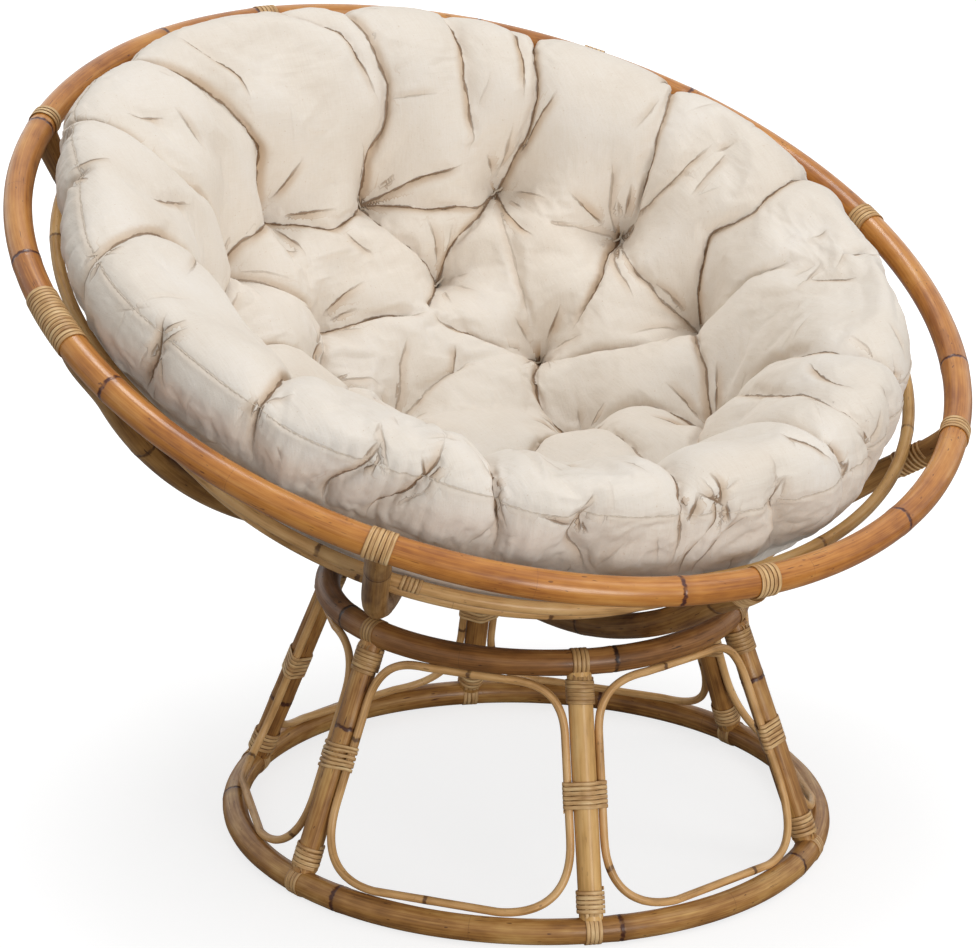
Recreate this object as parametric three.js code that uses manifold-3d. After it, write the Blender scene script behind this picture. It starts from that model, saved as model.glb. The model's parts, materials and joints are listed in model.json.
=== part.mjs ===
// A rattan papasan chair: a six-legged stand, a round bowl that rests loose on the stand's top ring,
// and a tufted round cushion that lies in the bowl. Lengths are millimetres and +Z is up.
// The low side of the bowl, where a person sits down, faces -Y.
import * as THREE from "three";
import { mergeVertices } from "three/addons/utils/BufferGeometryUtils.js";
import Module from "manifold-3d";

const wasm = await Module();
wasm.setup();

// Clearances
const gap = 0.3; // between pieces that touch on the real chair
const bandGap = 0.6; // between a flat-sided binding and the round poles inside it
const flatDepth = 0.5; // how deep the floor flattens the bindings that the chair stands on

// Rattan strands of the bindings
const strandThickness = 1.2;
const strandRise = 0.5; // how far the middle of a strand stands above its edges

// Stand
const bottomRingRadius = 325;
const topRingRadius = 225;
const standPoleRadius = 14;
const topRingHeight = 276; // centre of the ring's pole above the floor
const legCount = 6;
const legTurn = THREE.MathUtils.degToRad(-25.3); // first leg, from -Y towards +X
const legRadius = 13;
const legEndInset = 7; // each end of a leg from the middle of its ring's pole
const loopPoleRadius = 4.5;
const loopBottomCorner = 78;
const loopTopCorner = 58;
const collarLength = 29; // wraps on a leg, next to a ring
const saddleLength = 19; // wraps on a ring, over a leg's end
const middleBandLength = 34;
const middleBandShare = 0.5; // of the way up the leg

// Bowl: its poles lie on spheres round one centre, so that it slides on the stand's top ring
const bowlTilt = THREE.MathUtils.degToRad(21.2);
const armPoleRadius = 14;
const rimRadius = 522.5;
const rimAngle = THREE.MathUtils.degToRad(67.03); // polar angle of the rim on its sphere
const rimPoleRadius = 15.4;
const armInset = 15.5; // the arms' sphere inside the rim's
const armCount = 8;
const armTurn = THREE.MathUtils.degToRad(-2.5); // first arm, from the low side towards +X
const armEnd = THREE.MathUtils.degToRad(5.6); // polar angle of the arms' lower ends
const armFlare = THREE.MathUtils.degToRad(56); // where the arms leave the sphere for the rim
const armBandLength = 26;
const ringPoleRadius = 7;
const upperRingAngle = THREE.MathUtils.degToRad(62);
const middleRingAngles = [48.5, 43.5].map(THREE.MathUtils.degToRad);
const lowerRingAngle = THREE.MathUtils.degToRad(25);
const hubRingAngle = THREE.MathUtils.degToRad(8.5);

// Long binding over the joint in the rim's pole
const spliceTurns = 16;
const splicePitch = 5.2;
const spliceStrandWidth = 4.2;
const spliceAngle = THREE.MathUtils.degToRad(-96.5); // its middle, from the low side towards +X

// Cushion
const edgeRollRadius = 76.5;
const edgeRollInset = 114; // centre of the roll inside the rim's
const edgeRollRise = 1; // centre of the roll above the rim's plane
const cushionShift = 18; // the cushion lies nearer the bowl's -X side
const cushionCrown = 122; // thickness between tufts
const tuftDepthShare = 0.5;
const tuftWidth = 72;
const rollGrooveShare = 0.07;
const seatEdgeAngle = THREE.MathUtils.degToRad(50);
const outerTuftCount = 12;
const outerTuftAngle = THREE.MathUtils.degToRad(44);
const innerTuftCount = 8;
const innerTuftAngle = THREE.MathUtils.degToRad(24);
const innerTuftTurn = THREE.MathUtils.degToRad(22.5);

// Faces round and along the poles
const poleSides = 8;
const thinSides = 6;
const standRingSteps = 42;
const rimSteps = 64;
const bowlRingSteps = 48; // the bowl's thin rings and the cushion on them
const loopSteps = 24;
const armSteps = 13;
const bandSides = 12; // round a middle binding
const spliceSteps = 12; // to a turn

// Sizes that follow from the ones above
const strandReach = gap + strandThickness;
const bottomRingHeight = standPoleRadius + strandReach - flatDepth;
const seatClearance = strandReach + gap; // arms pass over the strands on the stand's top ring
const standRise = topRingHeight - bottomRingHeight;
const standRun = bottomRingRadius - topRingRadius;
const legLength = Math.hypot(standRise, standRun);
const rimSphere = rimRadius / Math.sin(rimAngle);
const rimDrop = rimRadius / Math.tan(rimAngle); // rim's plane below the centre of the spheres
const armSphere = rimSphere - armInset;
const seatSphere = armSphere + armPoleRadius; // underside of the arms
const sphereRise = Math.sqrt((seatSphere + seatClearance + standPoleRadius) ** 2 - topRingRadius ** 2);
const sphereHeight = topRingHeight + sphereRise;
const seatLean = Math.atan2(topRingRadius, sphereRise); // from the top ring's pole to the bowl's centre
const edgeRollReach = rimRadius - edgeRollInset; // centre of the roll from the bowl's axis
const armStep = (rimAngle - armEnd) / armSteps;
const armSag = armSphere * (1 - Math.cos(armStep / 2)); // of an arm's straight lengths under their arc
const ringToArm = armPoleRadius + armSag + gap + ringPoleRadius;
const ringSphere = armSphere - ringToArm;
const cushionSphere = ringSphere - ringPoleRadius - gap;
const spliceArm = Math.round((1 + (spliceAngle - armTurn) / (2 * Math.PI)) * armCount) % armCount;
const spliceReach = (rimPoleRadius + gap) / Math.cos(Math.PI / spliceSteps);
const spliceOuter = spliceReach + strandThickness + gap;
const spliceCope = spliceOuter / Math.cos(Math.PI / poleSides) - rimPoleRadius;
const rollSphere = armRadius(upperRingAngle) - ringToArm - ringPoleRadius - gap;

const X = new THREE.Vector3(1, 0, 0);
const Z = new THREE.Vector3(0, 0, 1);

// Materials
function finish(color, roughness) {
  return new THREE.MeshStandardMaterial({ color, roughness, metalness: 0 });
}
const rimRattan = finish(0xb9763a, 0.45);
const standRattan = finish(0xa98653, 0.5);
const thinRattan = finish(0xcda565, 0.5);
const peel = finish(0xd8b98a, 0.6);
const canvas = finish(0xe6ddcf, 0.95);

// Unit vector away from the axis, at an angle measured from -Y towards +X.
function outward(angle) {
  return new THREE.Vector3(Math.sin(angle), -Math.cos(angle), 0);
}

// Point at a polar angle from straight down, on a sphere round the origin.
function onSphere(radius, polar, angle) {
  return outward(angle)
    .multiplyScalar(radius * Math.sin(polar))
    .addScaledVector(Z, -radius * Math.cos(polar));
}

// Point of a level ring's centre line, which is straight between the ring's steps.
function onRing(radius, height, steps, angle) {
  const place = (angle * steps) / (2 * Math.PI);
  const before = outward((2 * Math.PI * Math.floor(place)) / steps);
  const after = outward((2 * Math.PI * Math.ceil(place)) / steps);
  return before
    .lerp(after, place - Math.floor(place))
    .multiplyScalar(radius)
    .addScaledVector(Z, height);
}

// Circle outline in the plane of two unit vectors.
function circleRow(centre, u, v, radius, sides) {
  return Array.from({ length: sides }, (_, i) => {
    const a = (2 * Math.PI * i) / sides;
    return centre
      .clone()
      .addScaledVector(u, radius * Math.cos(a))
      .addScaledVector(v, radius * Math.sin(a));
  });
}

// Closed surface through rows of points. Each row is a closed outline with as many points as the
// others. The last row joins the first when closed is true, and otherwise both ends get a cap.
function skin(rows, closed) {
  const width = rows[0].length;
  const points = rows.flat();
  const index = [];
  const bands = closed ? rows.length : rows.length - 1;
  for (let i = 0; i < bands; i++) {
    for (let j = 0; j < width; j++) {
      const a = i * width + j;
      const b = i * width + ((j + 1) % width);
      const c = ((i + 1) % rows.length) * width + j;
      const d = ((i + 1) % rows.length) * width + ((j + 1) % width);
      index.push(a, b, d, a, d, c);
    }
  }
  if (!closed) {
    for (const [row, turned] of [
      [0, true],
      [rows.length - 1, false],
    ]) {
      const centre = points.length;
      points.push(rows[row].reduce((sum, p) => sum.add(p), new THREE.Vector3()).divideScalar(width));
      for (let j = 0; j < width; j++) {
        const a = row * width + j;
        const b = row * width + ((j + 1) % width);
        index.push(centre, ...(turned ? [b, a] : [a, b]));
      }
    }
  }
  const geometry = new THREE.BufferGeometry().setFromPoints(points);
  geometry.setIndex(index);
  return facingOut(geometry);
}

// Turns every triangle round when the surface encloses a negative volume.
function facingOut(geometry) {
  const at = geometry.attributes.position;
  const index = geometry.index.array;
  const [a, b, c] = [0, 1, 2].map(() => new THREE.Vector3());
  let volume = 0;
  for (let i = 0; i < index.length; i += 3) {
    a.fromBufferAttribute(at, index[i]);
    b.fromBufferAttribute(at, index[i + 1]);
    c.fromBufferAttribute(at, index[i + 2]);
    volume += a.dot(b.cross(c));
  }
  if (volume < 0) {
    geometry.setIndex(Array.from(index).reverse());
  }
  return geometry;
}

function toSolid(geometry) {
  const bare = geometry.clone();
  bare.deleteAttribute("normal");
  bare.deleteAttribute("uv");
  const merged = mergeVertices(bare);
  return new wasm.Manifold(
    new wasm.Mesh({
      numProp: 3,
      vertProperties: merged.attributes.position.array,
      triVerts: new Uint32Array(merged.index.array),
    }),
  );
}

function toGeometry(solid) {
  const mesh = solid.getMesh();
  const geometry = new THREE.BufferGeometry();
  geometry.setAttribute("position", new THREE.BufferAttribute(mesh.vertProperties, 3));
  geometry.setIndex(new THREE.BufferAttribute(mesh.triVerts, 1));
  geometry.computeVertexNormals();
  return geometry;
}

// Ring of round pole that lies level, a height above the origin.
function levelRing(radius, height, poleRadius, sides, steps) {
  const geometry = new THREE.TorusGeometry(radius, poleRadius, sides, steps);
  geometry.translate(0, 0, height);
  return geometry;
}

// Heights of a binding's surface along it, as pairs of place and height above the pole.
function wrapProfile(length, wraps) {
  const pairs = [];
  for (let i = 0; i <= 2 * wraps; i++) {
    const crest = i % 2 === 1;
    pairs.push([length * (i / (2 * wraps) - 1 / 2), crest ? strandReach : strandReach - strandRise]);
  }
  return pairs;
}

// Stand. Each piece is built at the leg that faces -Y and turned to its place.
const legBottom = outward(0).multiplyScalar(bottomRingRadius).addScaledVector(Z, bottomRingHeight);
const legTop = outward(0).multiplyScalar(topRingRadius).addScaledVector(Z, topRingHeight);
const legDirection = legTop.clone().sub(legBottom).normalize();
const legNormal = new THREE.Vector3().crossVectors(legDirection, X);

function alongLeg(distance) {
  return legBottom.clone().addScaledVector(legDirection, distance);
}

function legTube(radius, from, to) {
  const rows = [from, to].map((s) => circleRow(alongLeg(s), X, legNormal, radius, poleSides));
  return skin(rows, false);
}

function standRing(place, clearance) {
  const radius = place === "bottom" ? bottomRingRadius : topRingRadius;
  const height = place === "bottom" ? bottomRingHeight : topRingHeight;
  return levelRing(radius, height, standPoleRadius + clearance, poleSides, standRingSteps);
}

function legGeometry() {
  return toGeometry(
    toSolid(legTube(legRadius, legEndInset, legLength - legEndInset))
      .subtract(toSolid(standRing("bottom", gap)))
      .subtract(toSolid(standRing("top", gap))),
  );
}

// Binding at a leg's end: wraps round the leg next to the ring, and strands that go round the ring.
function legEndBinding(place) {
  const bottom = place === "bottom";
  const radius = bottom ? bottomRingRadius : topRingRadius;
  const height = bottom ? bottomRingHeight : topRingHeight;
  const ringEnd = bottom ? 0 : legLength;
  const inward = bottom ? 1 : -1;
  const collarMiddle = ringEnd + inward * (standPoleRadius + strandReach + collarLength / 2);
  const flatTurn = bottom ? 0 : seatLean - Math.PI / poleSides; // one flat of the strands faces the bowl
  const wraps = wrapProfile(collarLength, 2).map(([s, rise]) => [collarMiddle + s, legRadius + rise]);
  const neck = [ringEnd, legRadius + strandReach];
  const stations = bottom ? [neck, ...wraps] : [...wraps, neck];
  const collar = skin(
    stations.map(([s, reach]) => circleRow(alongLeg(s), X, legNormal, reach, poleSides)),
    false,
  );
  const saddle = skin(
    wrapProfile(saddleLength, 2).map(([s, rise]) => {
      const centre = onRing(radius, height, standRingSteps, s / radius);
      const reach = (standPoleRadius + rise) / Math.cos(Math.PI / poleSides);
      const out = outward(s / radius);
      const along = new THREE.Vector3().crossVectors(out, Z);
      const [across, above] = [out, Z].map((v) => v.clone().applyAxisAngle(along, flatTurn));
      return circleRow(centre, across, above, reach, poleSides);
    }),
    false,
  );
  let solid = toSolid(collar)
    .add(toSolid(saddle))
    .subtract(toSolid(legTube(legRadius + gap, 0, legLength)))
    .subtract(toSolid(standRing(place, gap)));
  if (bottom) {
    const floor = new THREE.BoxGeometry(4 * saddleLength, 4 * saddleLength, 2 * strandReach);
    floor.translate(0, -bottomRingRadius, -strandReach);
    solid = solid.subtract(toSolid(floor));
  }
  return toGeometry(solid);
}

// Point of the cone that the legs lie on: an arc's length from a leg-to-leg middle line, and a
// distance along the legs from the bottom ring.
function onCone(arc, distance) {
  const radius = bottomRingRadius - (standRun * distance) / legLength;
  const height = bottomRingHeight + (standRise * distance) / legLength;
  return outward(arc / radius).multiplyScalar(radius).addScaledVector(Z, height);
}

// Centre line of the thin pole bent to fill the space between two legs, which face the middle line.
const loopToLeg = legRadius + loopPoleRadius + bandGap;
const loopToRing = standPoleRadius + loopPoleRadius + gap;

function loopLine() {
  const sideAt = (distance) =>
    ((bottomRingRadius - (standRun * distance) / legLength) * Math.PI) / legCount - loopToLeg;
  const [low, high] = [loopToRing, legLength - loopToRing];
  const corners = [
    [-sideAt(low), low, loopBottomCorner],
    [sideAt(low), low, loopBottomCorner],
    [sideAt(high), high, loopTopCorner],
    [-sideAt(high), high, loopTopCorner],
  ].map(([x, y, round]) => ({ at: new THREE.Vector2(x, y), round }));
  const path = new THREE.Path();
  corners.forEach(({ at, round }, i) => {
    const before = corners[(i + 3) % 4].at.clone().sub(at).setLength(round).add(at);
    const after = corners[(i + 1) % 4].at.clone().sub(at).setLength(round).add(at);
    if (i === 0) {
      path.moveTo(before.x, before.y);
    } else {
      path.lineTo(before.x, before.y);
    }
    path.quadraticCurveTo(at.x, at.y, after.x, after.y);
  });
  path.closePath();
  return path.getSpacedPoints(loopSteps).slice(0, loopSteps);
}

function loopGeometry() {
  const line = loopLine().map((p) => onCone(p.x, p.y));
  const rows = line.map((p, i) => {
    const next = line[(i + 1) % line.length];
    const before = line[(i + line.length - 1) % line.length];
    const along = next.clone().sub(before).normalize();
    const across = new THREE.Vector3(p.x, p.y, 0).cross(along).normalize();
    const out = new THREE.Vector3().crossVectors(along, across);
    return circleRow(p, across, out, loopPoleRadius, thinSides);
  });
  return skin(rows, true);
}

// Binding round the middle of a leg and the two thin poles beside it.
function middleBinding() {
  const middle = legLength * middleBandShare;
  const centre = alongLeg(middle);
  const coneRadius = bottomRingRadius - standRun * middleBandShare;
  const sag = coneRadius * (1 - Math.cos(loopToLeg / coneRadius));
  const beside = legNormal.dot(outward(0)) > 0 ? -sag : sag;
  const circles = [
    { x: 0, y: 0, radius: legRadius },
    { x: loopToLeg, y: beside, radius: loopPoleRadius },
    { x: -loopToLeg, y: beside, radius: loopPoleRadius },
  ];
  const row = (place, offset) =>
    Array.from({ length: bandSides }, (_, i) => {
      const a = (2 * Math.PI * (i + 1 / 2)) / bandSides;
      const [dx, dy] = [Math.cos(a), Math.sin(a)];
      const reach = (c) => c.x * dx + c.y * dy + c.radius;
      const furthest = circles.reduce((best, c) => (reach(c) > reach(best) ? c : best));
      return centre
        .clone()
        .addScaledVector(legDirection, place)
        .addScaledVector(X, furthest.x + (furthest.radius + offset) * dx)
        .addScaledVector(legNormal, furthest.y + (furthest.radius + offset) * dy);
    });
  const wraps = wrapProfile(middleBandLength, 3).map(([s, rise]) => row(s, bandGap - gap + rise));
  const half = middleBandLength / 2;
  return skin([row(-half, bandGap), ...wraps, row(half, bandGap)], true);
}

// Bowl, in its own frame: the centre of its spheres is the origin, and its axis is Z.
function armRadius(polar) {
  const flare = THREE.MathUtils.smoothstep(polar, armFlare, rimAngle);
  return THREE.MathUtils.lerp(armSphere, rimSphere, flare);
}

class ArmLine extends THREE.Curve {
  getPoint(t, target = new THREE.Vector3()) {
    const polar = THREE.MathUtils.lerp(armEnd, rimAngle, t);
    return target.copy(onSphere(armRadius(polar), polar, 0));
  }
}

function armTube(clearance) {
  const corner = (armPoleRadius + clearance) / Math.cos(Math.PI / poleSides);
  const outline = new THREE.Shape(
    Array.from({ length: poleSides }, (_, i) => {
      const a = (2 * Math.PI * (i + 1 / 2)) / poleSides;
      return new THREE.Vector2(Math.cos(a), Math.sin(a)).multiplyScalar(corner);
    }),
  );
  return new THREE.ExtrudeGeometry(outline, { steps: armSteps, extrudePath: new ArmLine() });
}

function rimRing(clearance) {
  return levelRing(rimRadius, -rimDrop, rimPoleRadius + clearance, poleSides, rimSteps);
}

function armGeometry(clearance) {
  return toGeometry(toSolid(armTube(0)).subtract(toSolid(rimRing(clearance))));
}

// Strands that tie an arm's end to the rim: they go round the rim and stop at the arm.
function armBinding() {
  const band = skin(
    wrapProfile(armBandLength, 2).map(([s, rise]) => {
      const centre = onRing(rimRadius, -rimDrop, rimSteps, s / rimRadius);
      return circleRow(centre, outward(s / rimRadius), Z, rimPoleRadius + rise, poleSides);
    }),
    false,
  );
  return toGeometry(
    toSolid(band)
      .subtract(toSolid(rimRing(gap)))
      .subtract(toSolid(armTube(gap))),
  );
}

function bowlRing(polar, steps = bowlRingSteps) {
  const rows = Array.from({ length: steps }, (_, i) => {
    const turn = (2 * Math.PI * i) / steps;
    const out = onSphere(1, polar, turn);
    const up = onSphere(1, polar + Math.PI / 2, turn);
    const centre = out.clone().multiplyScalar(armRadius(polar) - ringToArm);
    return circleRow(centre, out, up, ringPoleRadius, thinSides);
  });
  return skin(rows, true);
}

// Least distance between the corners of a winding that lie at least half a turn apart.
function leastGap(rows) {
  let least = Infinity;
  for (let i = 0; i < rows.length; i++) {
    for (let j = i + spliceSteps / 2; j < rows.length; j++) {
      for (const a of rows[i]) {
        for (const b of rows[j]) {
          least = Math.min(least, a.distanceTo(b));
        }
      }
    }
  }
  return least;
}

// One flat strand wound round the rim's pole as a single unbroken helix.
function spliceGeometry() {
  const length = spliceTurns * splicePitch;
  const rows = [];
  for (let i = 0; i <= spliceTurns * spliceSteps; i++) {
    const share = i / (spliceTurns * spliceSteps);
    const angle = spliceAngle - armTurn + ((share - 1 / 2) * length) / rimRadius;
    const round = (2 * Math.PI * i) / spliceSteps;
    const away = outward(angle);
    const centre = onRing(rimRadius, -rimDrop, rimSteps, angle);
    const out = away
      .clone()
      .multiplyScalar(Math.cos(round))
      .addScaledVector(Z, Math.sin(round));
    const along = new THREE.Vector3().crossVectors(Z, away);
    const edge = spliceStrandWidth / 2;
    const corner = (side, height) =>
      centre.clone().addScaledVector(out, height).addScaledVector(along, side);
    rows.push([
      corner(-edge, spliceReach),
      corner(edge, spliceReach),
      corner(edge, spliceReach + strandThickness),
      corner(-edge, spliceReach + strandThickness),
    ]);
  }
  console.log("rim_splice_binding: least gap to itself " + leastGap(rows).toFixed(2) + " mm");
  return skin(rows, false);
}

// Cushion: a round pad with a rolled edge, drawn in by two rings of sewn tufts.
const tufts = [
  [outerTuftCount, outerTuftAngle, 0],
  [innerTuftCount, innerTuftAngle, innerTuftTurn],
  [1, 0, 0],
].flatMap(([count, polar, turn]) =>
  Array.from({ length: count }, (_, i) => onSphere(cushionSphere, polar, turn + (2 * Math.PI * i) / count)),
);

function seatRadius(polar, angle) {
  const below = onSphere(cushionSphere, polar, angle);
  const nearest = Math.min(...tufts.map((tuft) => tuft.distanceTo(below)));
  const pit = tuftDepthShare * Math.exp(-((nearest / tuftWidth) ** 2));
  return cushionSphere - cushionCrown * (1 - pit);
}

// The rolled edge: part of a circle in the plane through the bowl's axis, from below to the seat.
function rollPoint(angle, round) {
  const groove = ((1 + Math.cos(outerTuftCount * angle)) / 2) ** 4;
  const radius = edgeRollRadius * (1 - rollGrooveShare * groove);
  const reach = edgeRollReach - cushionShift * Math.sin(angle) + radius * Math.cos(round);
  return outward(angle)
    .multiplyScalar(reach)
    .addScaledVector(Z, edgeRollRise - rimDrop + radius * Math.sin(round))
    .clampLength(0, rollSphere);
}

function cushionGeometry() {
  const underside = [
    hubRingAngle,
    (hubRingAngle + lowerRingAngle) / 2,
    lowerRingAngle,
    (lowerRingAngle + middleRingAngles[1]) / 2,
    middleRingAngles[1],
    middleRingAngles[0],
  ];
  const roll = [-24, 0, 28, 56, 84, 112, 140].map(THREE.MathUtils.degToRad);
  const between = (share) => THREE.MathUtils.lerp(outerTuftAngle, innerTuftAngle, share);
  const inside = (share) => innerTuftAngle * share;
  const seat = [
    seatEdgeAngle,
    ...[0, 1 / 4, 1 / 2, 3 / 4, 1].map(between),
    ...[3 / 4, 1 / 2, 1 / 4].map(inside),
  ];
  const angles = Array.from({ length: bowlRingSteps }, (_, i) => (2 * Math.PI * i) / bowlRingSteps);
  const rows = [
    ...underside.map((polar) => angles.map((a) => onSphere(cushionSphere, polar, a))),
    ...roll.map((round) => angles.map((a) => rollPoint(a, round))),
    ...seat.map((polar) => angles.map((a) => onSphere(seatRadius(polar, a), polar, a))),
  ];
  return skin(rows, false);
}

// Assembly
const chair = new THREE.Group();
const stand = new THREE.Group();
stand.rotation.z = legTurn;
const bowl = new THREE.Group();
bowl.position.z = sphereHeight;
bowl.rotation.x = bowlTilt;
const frame = new THREE.Group();
frame.rotation.z = armTurn;
bowl.add(frame);
chair.add(stand, bowl);

function piece(parent, name, geometry, material, turn = 0) {
  const mesh = new THREE.Mesh(geometry, material);
  mesh.name = name;
  mesh.rotation.z = turn;
  parent.add(mesh);
  return mesh;
}

piece(stand, "base_bottom_ring", standRing("bottom", 0), standRattan);
piece(stand, "base_top_ring", standRing("top", 0), standRattan);
const leg = legGeometry();
const loop = loopGeometry();
const topBinding = legEndBinding("top");
const lowBinding = legEndBinding("bottom");
const midBinding = middleBinding();
for (let i = 0; i < legCount; i++) {
  const turn = (2 * Math.PI * i) / legCount;
  const name = "leg_" + (i + 1);
  piece(stand, name, leg, standRattan, turn);
  piece(stand, name + "_top_binding", topBinding, peel, turn);
  piece(stand, name + "_middle_binding", midBinding, peel, turn);
  piece(stand, name + "_bottom_binding", lowBinding, peel, turn);
  piece(stand, "stand_loop_" + (i + 1), loop, thinRattan, turn + Math.PI / legCount);
}

piece(frame, "bowl_rim", rimRing(0), rimRattan);
const arm = armGeometry(gap);
const armUnderSplice = armGeometry(spliceCope);
const armBand = armBinding();
for (let i = 0; i < armCount; i++) {
  const turn = (2 * Math.PI * i) / armCount;
  const name = "bowl_arm_" + (i + 1);
  if (i === spliceArm) {
    piece(frame, name, armUnderSplice, standRattan, turn);
  } else {
    piece(frame, name, arm, standRattan, turn);
    piece(frame, name + "_binding", armBand, peel, turn);
  }
}
piece(frame, "bowl_ring_upper", bowlRing(upperRingAngle), thinRattan);
middleRingAngles.forEach((polar, i) => {
  piece(frame, "bowl_ring_middle_" + (i + 1), bowlRing(polar), thinRattan);
});
piece(frame, "bowl_ring_lower", bowlRing(lowerRingAngle), thinRattan);
piece(frame, "bowl_ring_hub", bowlRing(hubRingAngle, bowlRingSteps / 2), thinRattan);
piece(frame, "rim_splice_binding", spliceGeometry(), peel);
piece(frame, "cushion", cushionGeometry(), canvas);

// The origin is the middle of the chair's box, on the floor.
const box = new THREE.Box3().setFromObject(chair, true);
const middle = box.getCenter(new THREE.Vector3());
chair.position.set(-middle.x, -middle.y, -box.min.z);

export default chair;
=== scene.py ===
import json
import logging
import math
from dataclasses import dataclass, field
from enum import Enum
from functools import partial
from typing import Callable

import bpy
import numpy as np
from mathutils import Matrix, Vector
from mathutils.bvhtree import BVHTree
from mathutils.geometry import barycentric_transform

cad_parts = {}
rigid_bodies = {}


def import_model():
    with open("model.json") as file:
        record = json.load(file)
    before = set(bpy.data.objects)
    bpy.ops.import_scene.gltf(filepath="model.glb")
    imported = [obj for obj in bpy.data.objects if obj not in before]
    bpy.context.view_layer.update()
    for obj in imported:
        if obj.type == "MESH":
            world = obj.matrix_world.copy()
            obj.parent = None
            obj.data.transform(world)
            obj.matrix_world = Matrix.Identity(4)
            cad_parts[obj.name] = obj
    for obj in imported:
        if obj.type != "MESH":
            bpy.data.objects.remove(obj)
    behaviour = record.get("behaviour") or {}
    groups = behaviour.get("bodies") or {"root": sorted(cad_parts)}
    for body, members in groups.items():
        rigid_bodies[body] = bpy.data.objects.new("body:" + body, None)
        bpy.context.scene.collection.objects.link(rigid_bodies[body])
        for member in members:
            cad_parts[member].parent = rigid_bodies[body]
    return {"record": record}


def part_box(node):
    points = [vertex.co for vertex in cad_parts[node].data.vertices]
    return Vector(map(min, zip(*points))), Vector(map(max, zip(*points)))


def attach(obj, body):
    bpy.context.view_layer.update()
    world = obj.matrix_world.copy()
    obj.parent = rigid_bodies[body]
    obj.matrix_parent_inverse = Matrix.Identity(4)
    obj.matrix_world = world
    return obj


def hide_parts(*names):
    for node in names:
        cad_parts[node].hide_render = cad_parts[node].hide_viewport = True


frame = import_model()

log = logging.getLogger("papasan")
MM = 0.001
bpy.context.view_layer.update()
# A point with the direction away from its surface, and a point of a pole with two directions across it.
Spot = tuple[np.ndarray, np.ndarray]
Cross = tuple[np.ndarray, np.ndarray, np.ndarray]
# Two numbers: an angle and a place, or the least and the greatest value of a random size.
Pair = tuple[float, float]


class Part(Enum):
    """The rigid bodies of the chair, by their names in the record."""

    STAND = "stand"
    BOWL = "bowl"
    CUSHION = "cushion_pad"


def linear(hex_code: str) -> tuple[float, float, float, float]:
    """Turns an sRGB hex colour into linear light.

    Args:
        hex_code: Six hex digits, without a sign.

    Returns:
        Red, green, blue and an alpha of one.
    """
    values = [int(hex_code[i : i + 2], 16) / 255 for i in (0, 2, 4)]
    light = [v / 12.92 if v <= 0.04045 else ((v + 0.055) / 1.055) ** 2.4 for v in values]
    return light[0], light[1], light[2], 1.0


def outward(angle: float) -> np.ndarray:
    """Returns the level unit vector at an angle from -Y towards +X."""
    return np.array([math.sin(angle), -math.cos(angle), 0.0])


def smooth(edge_0: float, edge_1: float, value: np.ndarray) -> np.ndarray:
    """Eases from 0 at one edge to 1 at the other.

    Args:
        edge_0: Value that gives 0.
        edge_1: Value that gives 1.
        value: What is eased.

    Returns:
        The eased values, from 0 to 1.
    """
    t = np.clip((np.asarray(value, float) - edge_0) / (edge_1 - edge_0), 0, 1)
    return t * t * (3 - 2 * t)


def lengths_along(line: np.ndarray) -> np.ndarray:
    """Returns the length from a line's start to each of its points."""
    return np.concatenate([[0.0], np.cumsum(np.linalg.norm(np.diff(line, axis=0), axis=1))])


def even(line: np.ndarray, count: int) -> np.ndarray:
    """Spaces points evenly along a line.

    Args:
        line: Corners of the line.
        count: Number of points.

    Returns:
        The new points, with the same ends.
    """
    lengths = lengths_along(line)
    wanted = np.linspace(0, lengths[-1], count)
    return np.stack([np.interp(wanted, lengths, values) for values in line.T], axis=1)


# ---- Materials


def add_node(
    tree: bpy.types.NodeTree, kind: str, inputs: dict | None = None, stops: tuple = (), **settings: object
) -> bpy.types.Node:
    """Adds one node with its settings and links.

    Args:
        tree: Tree that the node goes into.
        kind: Node type; the name of a shader node goes without its first word.
        inputs: Constant, socket or node for each input, by name or number; a node stands for its first output.
        stops: Place and hex colour of each stop, for a colour ramp.
        settings: Values of the node's own properties.

    Returns:
        The new node.
    """
    new = tree.nodes.new(kind if "Node" in kind else "ShaderNode" + kind)
    for key, value in settings.items():
        setattr(new, key, value)
    for key, value in (inputs or {}).items():
        source = value.outputs[0] if isinstance(value, bpy.types.Node) else value
        if isinstance(source, bpy.types.NodeSocket):
            tree.links.new(source, new.inputs[key])
        else:
            new.inputs[key].default_value = source
    if stops:
        steps = new.color_ramp.elements
        while len(steps) < len(stops):
            steps.new(0.5)
        for step, (place, colour) in zip(steps, stops):
            step.position, step.color = place, linear(colour)
    return new


def new_material(name: str) -> tuple[bpy.types.Material, bpy.types.NodeTree]:
    """Makes an empty node material.

    Args:
        name: Name of the material.

    Returns:
        The material and its tree.
    """
    material = bpy.data.materials.new(name)
    material.use_nodes = True
    material.node_tree.nodes.clear()
    return material, material.node_tree


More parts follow.
